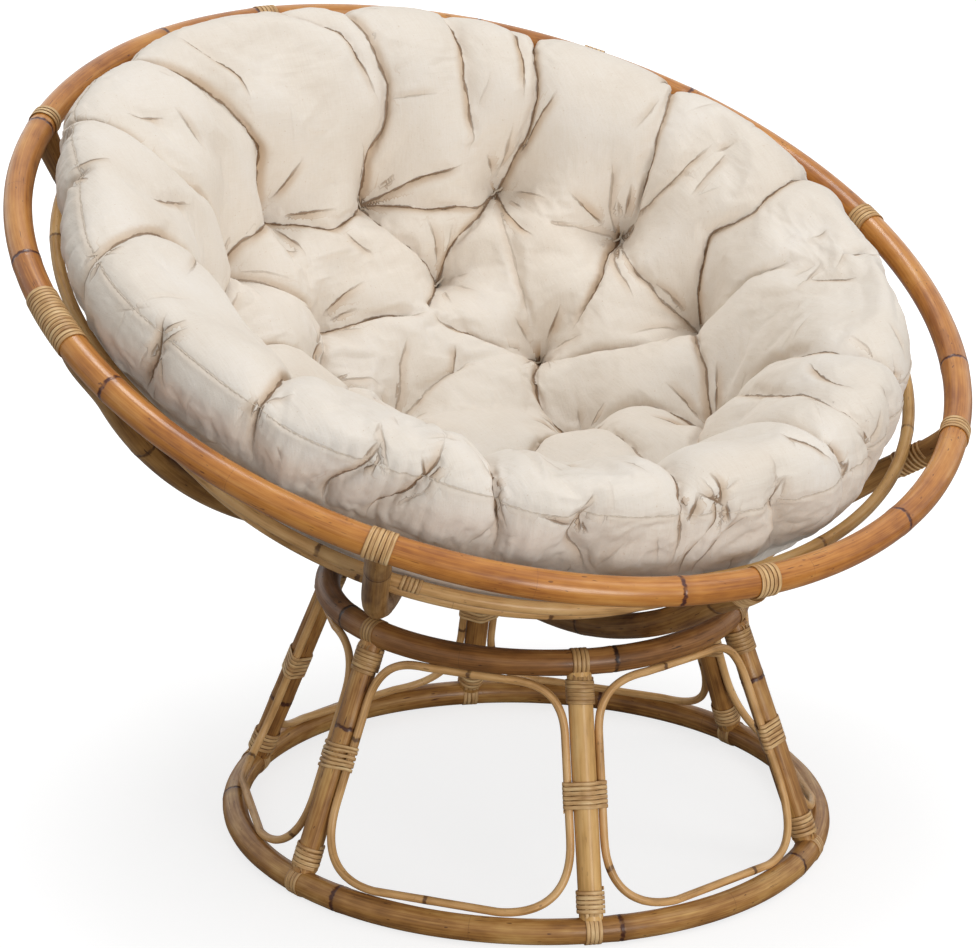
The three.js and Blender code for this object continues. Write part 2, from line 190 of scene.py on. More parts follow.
@dataclass(frozen=True)
class RattanFinish:
    """Varnished whole rattan pole: long fibres, ring scars at its nodes, and a soft varnish gloss.

    The pole's own attributes carry the pattern: section is the place round the pole in metres,
    along is the length from its end, and knot is the distance from the nearest node.
    """

    name: str
    shade: str
    ground: str
    light: str
    scar: str
    scar_strength: float = 1.0
    fleck_strength: float = 1.0
    roughness: float = 0.44
    varnish: float = 0.2

    def build(self) -> bpy.types.Material:
        """Builds the material's nodes.

        Returns:
            The finished material.
        """
        material, tree = new_material(self.name)
        add = partial(add_node, tree)
        along = add("Attribute", attribute_name="along").outputs["Fac"]
        knot = add("Attribute", attribute_name="knot").outputs["Fac"]
        section = add("Attribute", attribute_name="section").outputs["Vector"]
        split = add("SeparateXYZ", {0: section})
        at = add("CombineXYZ", {0: split.outputs[0], 1: split.outputs[1], 2: along})

        # Fibres are about 1 mm wide and 40 to 60 mm long, and clouds of colour are three times as long as wide.
        drawn = add("VectorMath", {0: at, 1: (1.0, 1.0, 0.022)}, operation="MULTIPLY")
        grain = add("VectorMath", {0: at, 1: (1.0, 1.0, 0.32)}, operation="MULTIPLY")
        fibre = add("TexNoise", {"Vector": drawn, "Scale": 430.0, "Detail": 4.0, "Roughness": 0.65})
        cloud = add("TexNoise", {"Vector": grain, "Scale": 34.0, "Detail": 3.0, "Roughness": 0.55})
        mottle = add("TexNoise", {"Vector": grain, "Scale": 120.0, "Detail": 2.0})
        tone = add("Math", {0: fibre, 1: 0.36}, operation="MULTIPLY")
        tone = add("Math", {0: mottle, 1: 0.18, 2: tone}, operation="MULTIPLY_ADD")
        tone = add("Math", {0: cloud, 1: 0.46, 2: tone}, operation="MULTIPLY_ADD")
        stops = ((0.38, self.shade), (0.5, self.ground), (0.64, self.light))
        colour = add("ValToRGB", {0: tone}, stops).outputs[0]

        # A node leaves a dark ring 3 mm wide with an uneven edge, and a stain that fades over 16 mm to one side.
        ragged = add("TexNoise", {"Vector": grain, "Scale": 260.0, "Detail": 3.0})
        ragged = add("MapRange", {"Value": ragged, "To Min": -0.003, "To Max": 0.003})
        place = add("Math", {0: knot, 1: ragged}, operation="ADD")
        off = add("Math", {0: place}, operation="ABSOLUTE")
        ends = {1: 0.0013, 2: 0.0032, 3: self.scar_strength, 4: 0.0}
        ring = add("MapRange", {"Value": off, **ends}, interpolation_type="SMOOTHSTEP")
        worn = add("TexNoise", {"Vector": grain, "Scale": 150.0})
        worn = add("MapRange", {"Value": worn, 1: 0.34, 2: 0.52, 3: 0.45, 4: 1.0}, interpolation_type="SMOOTHSTEP")
        ring = add("Math", {0: ring, 1: worn}, operation="MULTIPLY")
        stain = add("MapRange", {"Value": place, 1: 0.016, 2: 0.0, 3: 0.0, 4: 0.65 * self.scar_strength})
        side = add("MapRange", {"Value": place, 1: -0.004, 2: 0.0})
        stain = add("Math", {0: stain, 1: side}, operation="MULTIPLY")
        colour = add("Mix", {0: stain, 6: colour, 7: linear(self.shade)}, data_type="RGBA").outputs[2]
        colour = add("Mix", {0: ring, 6: colour, 7: linear(self.scar)}, data_type="RGBA").outputs[2]

        # Weather flecks are thin dark dashes 5 to 15 mm long in a few places, and pores are dark dots of 1 to 2 mm.
        dash = add("VectorMath", {0: at, 1: (1.0, 1.0, 0.087)}, operation="MULTIPLY")
        dash = add("TexNoise", {"Vector": dash, "Scale": 520.0, "Detail": 1.0})
        dash = add("MapRange", {"Value": dash, 1: 0.68, 2: 0.74})
        patch = add("TexNoise", {"Vector": grain, "Scale": 30.0, "Detail": 1.0})
        patch = add("MapRange", {"Value": patch, 1: 0.5, 2: 0.6, 3: 0.0, 4: 0.9 * self.fleck_strength})
        fleck = add("Math", {0: dash, 1: patch}, operation="MULTIPLY")
        pore = add("TexNoise", {"Vector": grain, "Scale": 360.0, "Detail": 0.0})
        pore = add("MapRange", {"Value": pore, 1: 0.8, 2: 0.84, 3: 0.0, 4: 0.8 * self.fleck_strength})
        fleck = add("Math", {0: fleck, 1: pore}, operation="MAXIMUM")
        colour = add("Mix", {0: fleck, 6: colour, 7: linear(self.scar)}, data_type="RGBA").outputs[2]

        height = add("Math", {0: fibre, 1: mottle}, operation="ADD")
        height = add("Math", {0: ring, 1: -2.0, 2: height}, operation="MULTIPLY_ADD")
        bump = add("Bump", {"Strength": 0.3, "Distance": 0.0004, "Height": height})
        rough = add("MapRange", {"Value": tone, 1: 0.36, 2: 0.66, 3: self.roughness + 0.1, 4: self.roughness - 0.06})
        # The varnish is thin and even, so that fibres still break up the gloss under it.
        surface = {"Base Color": colour, "Roughness": rough, "Normal": bump, "IOR": 1.5, "Specular IOR Level": 0.3}
        surface |= {"Coat Weight": self.varnish, "Coat Roughness": 0.2}
        add("OutputMaterial", {"Surface": add("BsdfPrincipled", surface)})
        return material


@dataclass(frozen=True)
class PeelFinish:
    """Flat strands of rattan peel: straw-coloured, with fine fibres along each strand and painted shade at their
    edges.
    """

    name: str
    shade: str
    ground: str
    light: str
    roughness: float = 0.5

    def build(self) -> bpy.types.Material:
        """Builds the material's nodes.

        Returns:
            The finished material.
        """
        material, tree = new_material(self.name)
        add = partial(add_node, tree)
        along = add("Attribute", attribute_name="along").outputs["Fac"]
        section = add("Attribute", attribute_name="section").outputs["Vector"]
        split = add("SeparateXYZ", {0: section})
        at = add("CombineXYZ", {0: split.outputs[0], 1: split.outputs[1], 2: along})
        # Fibres half a millimetre wide are drawn at one millimetre, so that they show.
        drawn = add("VectorMath", {0: at, 1: (1.0, 1.0, 0.018)}, operation="MULTIPLY")
        grain = add("VectorMath", {0: at, 1: (1.0, 1.0, 0.4)}, operation="MULTIPLY")
        fibre = add("TexNoise", {"Vector": drawn, "Scale": 900.0, "Detail": 2.0, "Roughness": 0.6})
        cloud = add("TexNoise", {"Vector": grain, "Scale": 60.0, "Detail": 3.0, "Roughness": 0.6})
        tone = add("Math", {0: fibre, 1: 0.35}, operation="MULTIPLY")
        tone = add("Math", {0: cloud, 1: 0.65, 2: tone}, operation="MULTIPLY_ADD")
        stops = ((0.36, self.shade), (0.5, self.ground), (0.62, self.light))
        colour = add("ValToRGB", {0: tone}, stops)
        # Painted shade darkens the edges of a strand, where it lies against the next one.
        edge = add("Attribute", attribute_name="edge").outputs["Fac"]
        edge = add("MapRange", {"Value": edge, 1: 0.7, 2: 1.0, 3: 0.0, 4: 0.8})
        colour = add("Mix", {0: edge, 6: colour, 7: linear(self.shade)}, data_type="RGBA").outputs[2]
        bump = add("Bump", {"Strength": 0.3, "Distance": 0.0004, "Height": fibre})
        surface = {"Base Color": colour, "Roughness": self.roughness, "Normal": bump, "Specular IOR Level": 0.35}
        surface |= {"Coat Weight": 0.12, "Coat Roughness": 0.3}
        add("OutputMaterial", {"Surface": add("BsdfPrincipled", surface)})
        return material


@dataclass(frozen=True)
class CanvasFinish:
    """Unbleached cotton canvas in plain weave: matte, with slubs, seed flecks and crisp folds drawn in painted shade.

    The cover's attributes carry its folds: fold is the distance across the nearest one, below nought
    on its one side, fold_gap is the plain distance, both in metres, and fold_line is its strength.
    """

    name: str
    ground: str
    light: str
    shade: str
    # The speck colour also paints the shadow beside a fold, and the crease colour is the painted shade in a fold's
    # line.
    speck_and_fold_shadow: str
    crease: str

    def build(self) -> bpy.types.Material:
        """Builds the material's nodes.

        Returns:
            The finished material.
        """
        material, tree = new_material(self.name)
        add = partial(add_node, tree)
        at = add("TexCoord").outputs["Object"]
        # Threads lie 0.7 mm apart and are drawn 1.6 mm apart, so that the weave shows a little.
        warp = add("VectorMath", {0: at, 1: (620.0, 40.0, 60.0)}, operation="MULTIPLY")
        weft = add("VectorMath", {0: at, 1: (40.0, 620.0, 620.0)}, operation="MULTIPLY")
        warp = add("TexNoise", {"Vector": warp, "Scale": 1.0, "Detail": 2.0, "Roughness": 0.6})
        weft = add("TexNoise", {"Vector": weft, "Scale": 1.0, "Detail": 2.0, "Roughness": 0.6})
        weave = add("Math", {0: warp, 1: weft}, operation="ADD")
        cloud = add("TexNoise", {"Vector": at, "Scale": 9.0, "Detail": 3.0})
        tone = add("Math", {0: weave, 1: 0.2}, operation="MULTIPLY")
        tone = add("Math", {0: cloud, 1: 0.6, 2: tone}, operation="MULTIPLY_ADD")
        stops = ((0.34, self.shade), (0.5, self.ground), (0.66, self.light))
        colour = add("ValToRGB", {0: tone}, stops).outputs[0]
        # Cotton seed leaves brown specks about a millimetre long.
        speck = add("TexNoise", {"Vector": at, "Scale": 420.0, "Detail": 1.0})
        speck = add("MapRange", {"Value": speck, 1: 0.735, 2: 0.78, 3: 0.0, 4: 0.35})
        colour = add("Mix", {0: speck, 6: colour, 7: linear(self.speck_and_fold_shadow)}, data_type="RGBA").outputs[2]

        # A fold is a dark line of painted shade 1.5 mm wide, with a brown painted shadow that fades over 13 mm on the
        # side that the canvas folds over.
        fold = add("Attribute", attribute_name="fold").outputs["Fac"]
        gap = add("Attribute", attribute_name="fold_gap").outputs["Fac"]
        strength = add("Attribute", attribute_name="fold_line").outputs["Fac"]
        uneven = add("TexNoise", {"Vector": at, "Scale": 70.0, "Detail": 2.0})
        wide = add("MapRange", {"Value": uneven, 1: 0.35, 2: 0.65, 3: 0.0006, 4: 0.0023})
        off = add("Math", {0: fold}, operation="ABSOLUTE")
        line = add("Math", {0: off, 1: wide}, operation="DIVIDE")
        line = add("MapRange", {"Value": line, 1: 0.35, 2: 1.0, 3: 1.0, 4: 0.0}, interpolation_type="SMOOTHSTEP")
        near = add("MapRange", {"Value": gap, 1: 0.003, 2: 0.0045, 3: 1.0, 4: 0.0})
        drawn = add("Math", {0: near, 1: strength}, operation="MULTIPLY")
        line = add("Math", {0: line, 1: drawn}, operation="MULTIPLY")
        painted_fold_shadow = add("MapRange", {"Value": fold, 1: 0.0, 2: 0.013, 3: 1.0, 4: 0.0})
        over = add("MapRange", {"Value": fold, 1: -0.0012, 2: 0.0, 3: 0.0, 4: 1.0})
        painted_fold_shadow = add("Math", {0: painted_fold_shadow, 1: over}, operation="MULTIPLY")
        reach = add("MapRange", {"Value": gap, 1: 0.006, 2: 0.014, 3: 0.85, 4: 0.0})
        painted_fold_shadow = add("Math", {0: painted_fold_shadow, 1: reach}, operation="MULTIPLY")
        painted_fold_shadow = add("Math", {0: painted_fold_shadow, 1: strength}, operation="MULTIPLY")
        colour = add("Mix", {0: painted_fold_shadow, 6: colour, 7: linear(self.speck_and_fold_shadow)}, data_type="RGBA").outputs[2]
        # The fold's line darkens the canvas with painted shade.
        painted_crease_shade = add("Math", {0: line, 1: 0.85}, operation="MULTIPLY")
        colour = add("Mix", {0: painted_crease_shade, 6: colour, 7: linear(self.crease)}, data_type="RGBA").outputs[2]

        # Washed canvas has soft rumples 2 to 5 cm long, sharp on one side.
        drift = add("TexNoise", {"Vector": at, "Scale": 11.0, "Detail": 2.0})
        drift = add("VectorMath", {0: drift.outputs["Color"], 1: (0.05, 0.05, 0.05)}, operation="MULTIPLY")
        bent = add("VectorMath", {0: at, 1: drift}, operation="ADD")
        rumple = add("TexNoise", {"Vector": bent, "Scale": 30.0, "Detail": 3.0, "Roughness": 0.55})
        ridge = add("TexNoise", {"Vector": bent, "Scale": 17.0, "Detail": 1.0}, noise_type="RIDGED_MULTIFRACTAL")
        height = add("Math", {0: weave, 1: 0.14}, operation="MULTIPLY")
        height = add("Math", {0: rumple, 1: 0.9, 2: height}, operation="MULTIPLY_ADD")
        height = add("Math", {0: ridge, 1: 0.5, 2: height}, operation="MULTIPLY_ADD")
        height = add("Math", {0: line, 1: -0.9, 2: height}, operation="MULTIPLY_ADD")
        bump = add("Bump", {"Strength": 0.7, "Distance": 0.0026, "Height": height})
        surface = {"Base Color": colour, "Normal": bump, "Roughness": 0.92, "Specular IOR Level": 0.2}
        surface |= {"Sheen Weight": 0.12, "Sheen Roughness": 0.5}
        add("OutputMaterial", {"Surface": add("BsdfPrincipled", surface)})
        return material


# ---- Poles and strands swept along paths


@dataclass
class Path:
    """Centre line of one pole or strand, with what its section needs at each point."""

    points: np.ndarray
    normals: np.ndarray
    scale: np.ndarray | None = None
    knot: np.ndarray | None = None
    start: float = 0.0

    def along(self) -> np.ndarray:
        """Returns the length from the path's start to each point."""
        return self.start + lengths_along(self.points)


class SweepTree:
    """Geometry Nodes tree that draws a round pole or a flat strand along each path of a mesh."""

    INPUTS = {"Width": "Float", "Thickness": "Float", "Sides": "Int", "Squareness": "Float", "Finish": "Material"}

    def __init__(self, finishes: dict[str, bpy.types.Material]) -> None:
        """Builds the tree.

        Args:
            finishes: The chair's materials by short name.
        """
        self.finishes = finishes
        self.tree = bpy.data.node_groups.new("pole_along_path", "GeometryNodeTree")
        face = self.tree.interface
        face.new_socket("Geometry", in_out="INPUT", socket_type="NodeSocketGeometry")
        face.new_socket("Geometry", in_out="OUTPUT", socket_type="NodeSocketGeometry")
        self.ids: dict[str, str] = {}
        for name, kind in self.INPUTS.items():
            self.ids[name] = face.new_socket(name, in_out="INPUT", socket_type="NodeSocket" + kind).identifier
        self._fill()

    def _fill(self) -> None:
        """Adds the nodes."""
        add = partial(add_node, self.tree)
        given = add("NodeGroupInput").outputs
        lines = add("GeometryNodeMeshToCurve", {"Mesh": given["Geometry"]})
        normal = add("GeometryNodeInputNamedAttribute", {"Name": "normal_out"}, data_type="FLOAT_VECTOR")
        lines = add("GeometryNodeSetCurveNormal", {"Curve": lines, "Normal": normal}, mode="FREE")
        circle = add("GeometryNodeCurvePrimitiveCircle", {"Resolution": given["Sides"], "Radius": 1.0})
        split = add("SeparateXYZ", {0: add("GeometryNodeInputPosition")})
        # A power below 1 squares the circle; the section's width lies along Y and its thickness along X.
        shaped = []
        for axis in (0, 1):
            size = add("Math", {0: split.outputs[axis]}, operation="ABSOLUTE")
            size = add("Math", {0: size, 1: given["Squareness"]}, operation="POWER")
            sign = add("Math", {0: split.outputs[axis]}, operation="SIGN")
            shaped.append(add("Math", {0: size, 1: sign}, operation="MULTIPLY"))
        # The distance from the middle of a strand's width lets the peel finish paint shade at the strand's edges.
        edge = add("Math", {0: shaped[1]}, operation="ABSOLUTE")
        store = "GeometryNodeStoreNamedAttribute"
        circle = add(store, {"Geometry": circle, "Name": "edge", "Value": edge}, data_type="FLOAT")
        sizes = []
        for axis, name in ((0, "Thickness"), (1, "Width")):
            half = add("Math", {0: given[name], 1: 0.5}, operation="MULTIPLY")
            sizes.append(add("Math", {0: shaped[axis], 1: half}, operation="MULTIPLY"))
        spot = add("CombineXYZ", {0: sizes[0], 1: sizes[1]})
        circle = add("GeometryNodeSetPosition", {"Geometry": circle, "Position": spot})
        again = add("GeometryNodeInputPosition")
        circle = add(store, {"Geometry": circle, "Name": "section", "Value": again}, data_type="FLOAT_VECTOR")
        scale = add("GeometryNodeInputNamedAttribute", {"Name": "size_share"}, data_type="FLOAT")
        swept = {"Curve": lines, "Profile Curve": circle, "Scale": scale, "Fill Caps": True}
        mesh = add("GeometryNodeCurveToMesh", swept)
        mesh = add("GeometryNodeSetShadeSmooth", {"Geometry": mesh})
        mesh = add("GeometryNodeRealizeInstances", {"Geometry": mesh})
        mesh = add("GeometryNodeSetMaterial", {"Geometry": mesh, "Material": given["Finish"]})
        add("NodeGroupOutput", {0: mesh})

    def sweep(
        self,
        name: str,
        paths: list[Path],
        sizes: tuple[float, float, int, float],
        finish: str,
        part: Part,
        slot: str,
        *nodes: str,
    ) -> None:
        """Draws poles or strands along paths, as one finished piece.

        Args:
            name: Name of the piece.
            paths: Centre lines.
            sizes: Width across the path and along its surface, thickness away from its surface, faces
                round the section, and squareness: 1 for a round section, less for a squarer one.
            finish: Short name of its material.
            part: Body that it rides on.
            slot: Material slot of the record.
            nodes: CAD nodes that it replaces.
        """
        points, edges, data = [], [], {"normal_out": [], "size_share": [], "along": [], "knot": []}
        for path in paths:
            first = len(points)
            count = len(path.points)
            points.extend(map(tuple, path.points))
            edges.extend((first + i, first + i + 1) for i in range(count - 1))
            data["normal_out"].append(path.normals)
            data["size_share"].append(np.ones(count) if path.scale is None else path.scale)
            data["along"].append(path.along())
            data["knot"].append(np.full(count, 1.0) if path.knot is None else path.knot)
        mesh = bpy.data.meshes.new(name + "_path")
        mesh.from_pydata(points, edges, [])
        for key, parts in data.items():
            values = np.concatenate(parts).astype(np.float32)
            kind = "FLOAT_VECTOR" if values.ndim == 2 else "FLOAT"
            layer = mesh.attributes.new(key, kind, "POINT")
            layer.data.foreach_set("vector" if values.ndim == 2 else "value", values.ravel())
        draft = bpy.data.objects.new(name + "_draft", mesh)
        bpy.context.scene.collection.objects.link(draft)
        modifier = draft.modifiers.new("sweep", "NODES")
        modifier.node_group = self.tree
        for key, value in zip(self.INPUTS, (*sizes, self.finishes[finish])):
            modifier[self.ids[key]] = value
        made = plain_copy(draft, name)
        bpy.data.objects.remove(draft)
        finish_piece(made, part, slot, *nodes)

    def pole(self, node: str, path: Path, radius: float, sides: int, finish: str, part: Part, slot: str) -> None:
        """Draws the round pole of a CAD node.

        Args:
            node: CAD node that it replaces.
            path: Centre line.
            radius: Radius of the pole.
            sides: Faces round it.
            finish: Short name of its material.
            part: Body that it rides on.
            slot: Material slot of the record.
        """
        self.sweep(node + "_pole", [path], (2 * radius, 2 * radius, sides, 1.0), finish, part, slot, node)

    def strands(
        self,
        name: str,
        paths: list[Path],
        width: float,
        thickness: float,
        part: Part,
        *nodes: str,
        finish: str = "peel",
    ) -> None:
        """Draws a binding of flat strands.

        Args:
            name: Name of the piece.
            paths: Centre lines of its strands.
            width: Width of a strand.
            thickness: Thickness of a strand.
            part: Body that it rides on.
            nodes: CAD nodes that it replaces.
            finish: Short name of its material.
        """
        self.sweep(name, paths, (width, thickness, 10, 0.62), finish, part, "rattan_peel", *nodes)


def plain_copy(source: bpy.types.Object, name: str) -> bpy.types.Object:
    """Turns an object with modifiers into a plain mesh object.

    Args:
        source: Object whose evaluated mesh is taken.
        name: Name of the new object.

    Returns:
        The new object, at the origin, with no modifiers.
    """
    graph = bpy.context.evaluated_depsgraph_get()
    final = source.evaluated_get(graph)
    mesh = bpy.data.meshes.new_from_object(final, preserve_all_data_layers=True, depsgraph=graph)
    mesh.name = name
    made = bpy.data.objects.new(name, mesh)
    bpy.context.scene.collection.objects.link(made)
    return made


def finish_piece(piece: bpy.types.Object, part: Part, slot: str, *nodes: str) -> None:
    """Ties a finished piece to its body, and hides the CAD nodes that it stands for.

    Args:
        piece: Finished object.
        part: Body that it rides on.
        slot: Material slot of the record; not used.
        nodes: CAD nodes that it replaces.
    """
    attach(piece, part.value)
    if nodes:
        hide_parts(*nodes)
    log.info("%s: %d faces, on %s", piece.name, len(piece.data.polygons), part.value)


@dataclass(frozen=True)
class Pole:
    """Whole rattan pole whose thickness and node scars follow from where its nodes are."""

    nodes: tuple[float, ...]
    seed: float
    swelling: float = 0.035
    step: float = 0.009

    def stations(self, length: float) -> np.ndarray:
        """Returns places along the pole, closer together near its nodes.

        Args:
            length: Length of the pole.

        Returns:
            Rising distances from its start.
        """
        base = np.linspace(0, length, max(3, int(length / self.step)))
        near = [n + d for n in self.nodes for d in np.array([-9, -6, -3.5, -2, -1, 0, 1, 2, 3.5, 6, 9]) * MM]
        every = np.unique(np.round(np.concatenate([base, [s for s in near if 0 < s < length]]), 6))
        keep = np.concatenate([[True], np.diff(every) > 0.0005])
        every = every[keep]
        every[-1] = length
        return every

    def profile(self, stations: np.ndarray) -> Spot:
        """Gives the pole's thickness and node distance along it.

        Args:
            stations: Places along the pole.

        Returns:
            Share of the radius, and signed distance to the nearest node, at each place.
        """
        knot = np.full(len(stations), 0.5)
        for node in self.nodes:
            gap = stations - node
            knot = np.where(np.abs(gap) < np.abs(knot), gap, knot)
        bulge = self.swelling * np.exp(-((knot / (7 * MM)) ** 2))
        groove = 0.03 * np.exp(-((knot / (1.2 * MM)) ** 2))
        wave = 0.012 * np.sin(stations * 9.1 + self.seed) + 0.008 * np.sin(stations * 23.7 + 2 * self.seed)
        return 1 + wave + bulge - groove, knot

    def path(self, length: float, place: Callable[[float], Spot]) -> Path:
        """Lays the pole along a line.

        Args:
            length: Length of the line.
            place: Gives the point and the outward direction at a distance along the line.

        Returns:
            The pole's path.
        """
        stations = self.stations(length)
        scale, knot = self.profile(stations)
        spots = [place(s) for s in stations]
        return Path(np.array([p for p, _ in spots]), np.array([n for _, n in spots]), scale, knot, 3.7 * self.seed)


# ---- Stand


@dataclass
class Stand:
    """Six-legged stand: two rings, six legs, six bent thin poles and their bindings."""

    sweeps: SweepTree
    centre: np.ndarray
    bottom_radius: float = 325 * MM
    top_radius: float = 225 * MM
    pole_radius: float = 14 * MM
    bottom_height: float = 15 * MM
    top_height: float = 276 * MM
    leg_count: int = 6
    turn: float = math.radians(-25.3)
    leg_radius: float = 13 * MM
    loop_radius: float = 4.5 * MM
    bottom_corner: float = 78 * MM
    top_corner: float = 58 * MM
    strand: float = 1.2 * MM
    gap: float = 0.3 * MM
    band_gap: float = 0.6 * MM
    collar: float = 29 * MM
    middle_band: float = 34 * MM

    def __post_init__(self) -> None:
        """Works out the slope and length of the legs."""
        self.run = self.bottom_radius - self.top_radius
        self.rise = self.top_height - self.bottom_height
        self.leg_length = math.hypot(self.run, self.rise)

    def leg_angle(self, leg: int) -> float:
        """Returns the direction of a leg, counted from 0, from -Y towards +X."""
        return self.turn + 2 * math.pi * leg / self.leg_count

    def on_cone(self, angle: float, distance: float) -> np.ndarray:
        """Finds a point of the cone that the legs lie on.

        Args:
            angle: Direction from the stand's axis.
            distance: Distance up the legs from the bottom ring.

        Returns:
            The point, in the chair's frame.
        """
        share = distance / self.leg_length
        radius = self.bottom_radius - self.run * share
        point = outward(angle) * radius + self.centre
        point[2] = self.bottom_height + self.rise * share
        return point

    def leg_axes(self, angle: float) -> Cross:
        """Works out a leg's directions.

        Args:
            angle: Direction of the leg from the stand's axis.

        Returns:
            Unit vectors up the leg, along the rings and out of the stand.
        """
        up = self.on_cone(angle, self.leg_length) - self.on_cone(angle, 0)
        up /= np.linalg.norm(up)
        side = np.array([math.cos(angle), math.sin(angle), 0.0])
        return up, side, np.cross(side, up)

    def build(self) -> None:
        """Builds every piece of the stand."""
        self._rings()
        for i in range(self.leg_count):
            self._leg(i)
            self._loop(i)
            self._end_binding(i, True)
            self._end_binding(i, False)
            self._middle_binding(i)

    def _rings(self) -> None:
        """Builds the two level rings."""
        low = (self.bottom_radius, self.bottom_height, 3, (0.17, 0.45, 0.74, 1.05, 1.31, 1.6, 1.88), 1.0, "stand")
        # The top ring lies in the bowl's shadow and takes a darker copy of the stand's rattan, with the shade painted
        # in.
        high = (self.top_radius, self.top_height, 2, (0.11, 0.39, 0.66, 0.98, 1.27), 2.0, "stand_painted_shade")
        for name, ring in (("base_bottom_ring", low), ("base_top_ring", high)):
            radius, height, start, nodes, seed, finish = ring
            first = self.leg_angle(start)
            pole = Pole(nodes, seed)

            def place(s: float) -> Spot:
                """Finds a place of the ring.

                Args:
                    s: Distance along it.

                Returns:
                    The ring's point and its outward direction.
                """
                away = outward(first + s / radius)
                point = self.centre + away * radius
                point[2] = height
                return point, away

            path = pole.path(2 * math.pi * radius, place)
            self.sweeps.pole(name, path, self.pole_radius, 20, finish, Part.STAND, "stand_rattan")

    def _leg(self, i: int) -> None:
        """Builds one leg, from inside the bottom ring's pole to inside the top ring's.

        Args:
            i: Number of the leg, from 0.
        """
        angle = self.leg_angle(i)
        _, _, out = self.leg_axes(angle)
        rng = np.random.default_rng(40 + i)
        # The second leg from the front has a node just above its middle binding.
        nodes = {5: (0.163,), 0: ()}.get(i, (float(rng.uniform(0.06, 0.2)),))
        pole = Pole(nodes, 5.0 + i)
        inset = 0.75 * self.pole_radius

        def place(s: float) -> Spot:
            """Returns the leg's point and outward direction at a distance from its foot."""
            return self.on_cone(angle, inset + s), out

        path = pole.path(self.leg_length - 2 * inset, place)
        # The front leg takes a lighter copy of the stand's rattan, with painted light, and fainter scars and flecks.
        finish = "leg_front_painted_light" if i == 0 else "stand"
        self.sweeps.pole(f"leg_{i + 1}", path, self.leg_radius, 18, finish, Part.STAND, "stand_rattan")

    def loop_line(self) -> np.ndarray:
        """Draws the closed line of a thin pole between two legs.

        Returns:
            Arc lengths from the line's middle, and distances up the legs.
        """
        to_leg = self.leg_radius + self.loop_radius + self.band_gap
        to_ring = self.pole_radius + self.loop_radius + self.gap
        low, high = to_ring, self.leg_length - to_ring

        def side(distance: float) -> float:
            """Returns half the width between the loop's upright lines at a distance up the legs."""
            radius = self.bottom_radius - self.run * distance / self.leg_length
            return radius * math.pi / self.leg_count - to_leg

        corners = [
            (np.array([-side(low), low]), self.bottom_corner),
            (np.array([side(low), low]), self.bottom_corner),
            (np.array([side(high), high]), self.top_corner),
            (np.array([-side(high), high]), self.top_corner),
        ]
        line: list[np.ndarray] = []
        for i, (corner, reach) in enumerate(corners):
            before = corners[i - 1][0] - corner
            after = corners[(i + 1) % 4][0] - corner
            a = corner + before / np.linalg.norm(before) * reach
            b = corner + after / np.linalg.norm(after) * reach
            for t in np.linspace(0, 1, 15):
                line.append((1 - t) ** 2 * a + 2 * t * (1 - t) * corner + t * t * b)
        # The line starts at the middle of an upright, where the binding hides the pole's ends.
        line = line[30:] + line[:30]
        middle = (line[-1] + line[0]) / 2
        return np.array([middle, *line, middle])

    def _loop(self, i: int) -> None:
        """Builds the thin pole bent between one leg and the next.

        Args:
            i: Number of the leg, from 0.
        """
        angle = self.leg_angle(i) + math.pi / self.leg_count
        flat = self.loop_line()
        radii = self.bottom_radius - self.run * flat[:, 1] / self.leg_length
        points = np.array([self.on_cone(angle + arc / r, d) for (arc, d), r in zip(flat, radii)])
        points = even(points, int(lengths_along(points)[-1] / (5 * MM)) + 1)
        axis_out = points - self.centre
        axis_out[:, 2] = 0
        normals = axis_out / np.linalg.norm(axis_out, axis=1)[:, None]
        normals[:, 2] = self.run / self.rise
        rng = np.random.default_rng(70 + i)
        stations = lengths_along(points)
        nodes = tuple(float(v) for v in np.cumsum(rng.uniform(0.16, 0.3, 4)) if v < stations[-1] - 0.02)
        pole = Pole(nodes, 12.0 + i, swelling=0.05)
        scale, knot = pole.profile(stations)
        path = Path(points, normals, scale, knot, 3.7 * pole.seed)
        self.sweeps.pole(f"stand_loop_{i + 1}", path, self.loop_radius, 12, "thin", Part.STAND, "thin_rattan")

    def _end_binding(self, i: int, top: bool) -> None:
        """Builds the binding of a leg and a ring: strands over the ring, wraps on the leg over them.

        Args:
            i: Number of the leg, from 0.
            top: Whether it is the one at the top ring.
        """
        angle = self.leg_angle(i)
        up, side, out = self.leg_axes(angle)
        rng = np.random.default_rng(100 + 2 * i + top)
        width = 4.3 * MM
        ring_end = self.leg_length if top else 0.0
        inward = -1.0 if top else 1.0
        centre = self.on_cone(angle, ring_end)
        straps = []
        count = 4
        tail = self.pole_radius + 2.5 * self.strand + 0.8 * self.collar
        for k in range(count):
            offset = (k - (count - 1) / 2) * width * 1.05 + rng.uniform(-0.2, 0.2) * MM
            straps.append(self._strap(centre, up * -inward, (side, out), offset, tail))
        wraps = 7 if top else 6
        pitch = self.collar / wraps
        start = self.pole_radius + 1.6 * self.strand
        middle = ring_end + inward * (start + self.collar / 2)
        collar = self._helix(angle, middle - self.collar / 2 + pitch / 2, wraps - 1, pitch, rng)
        name = f"leg_{i + 1}_{'top' if top else 'bottom'}_binding"
        # The top bindings lie in the bowl's shadow and take a darker copy of the peel, with the shade painted in.
        finish = "peel_painted_shade" if top else "peel"
        self.sweeps.strands(name + "_strands", straps + [collar], width, self.strand, Part.STAND, name, finish=finish)

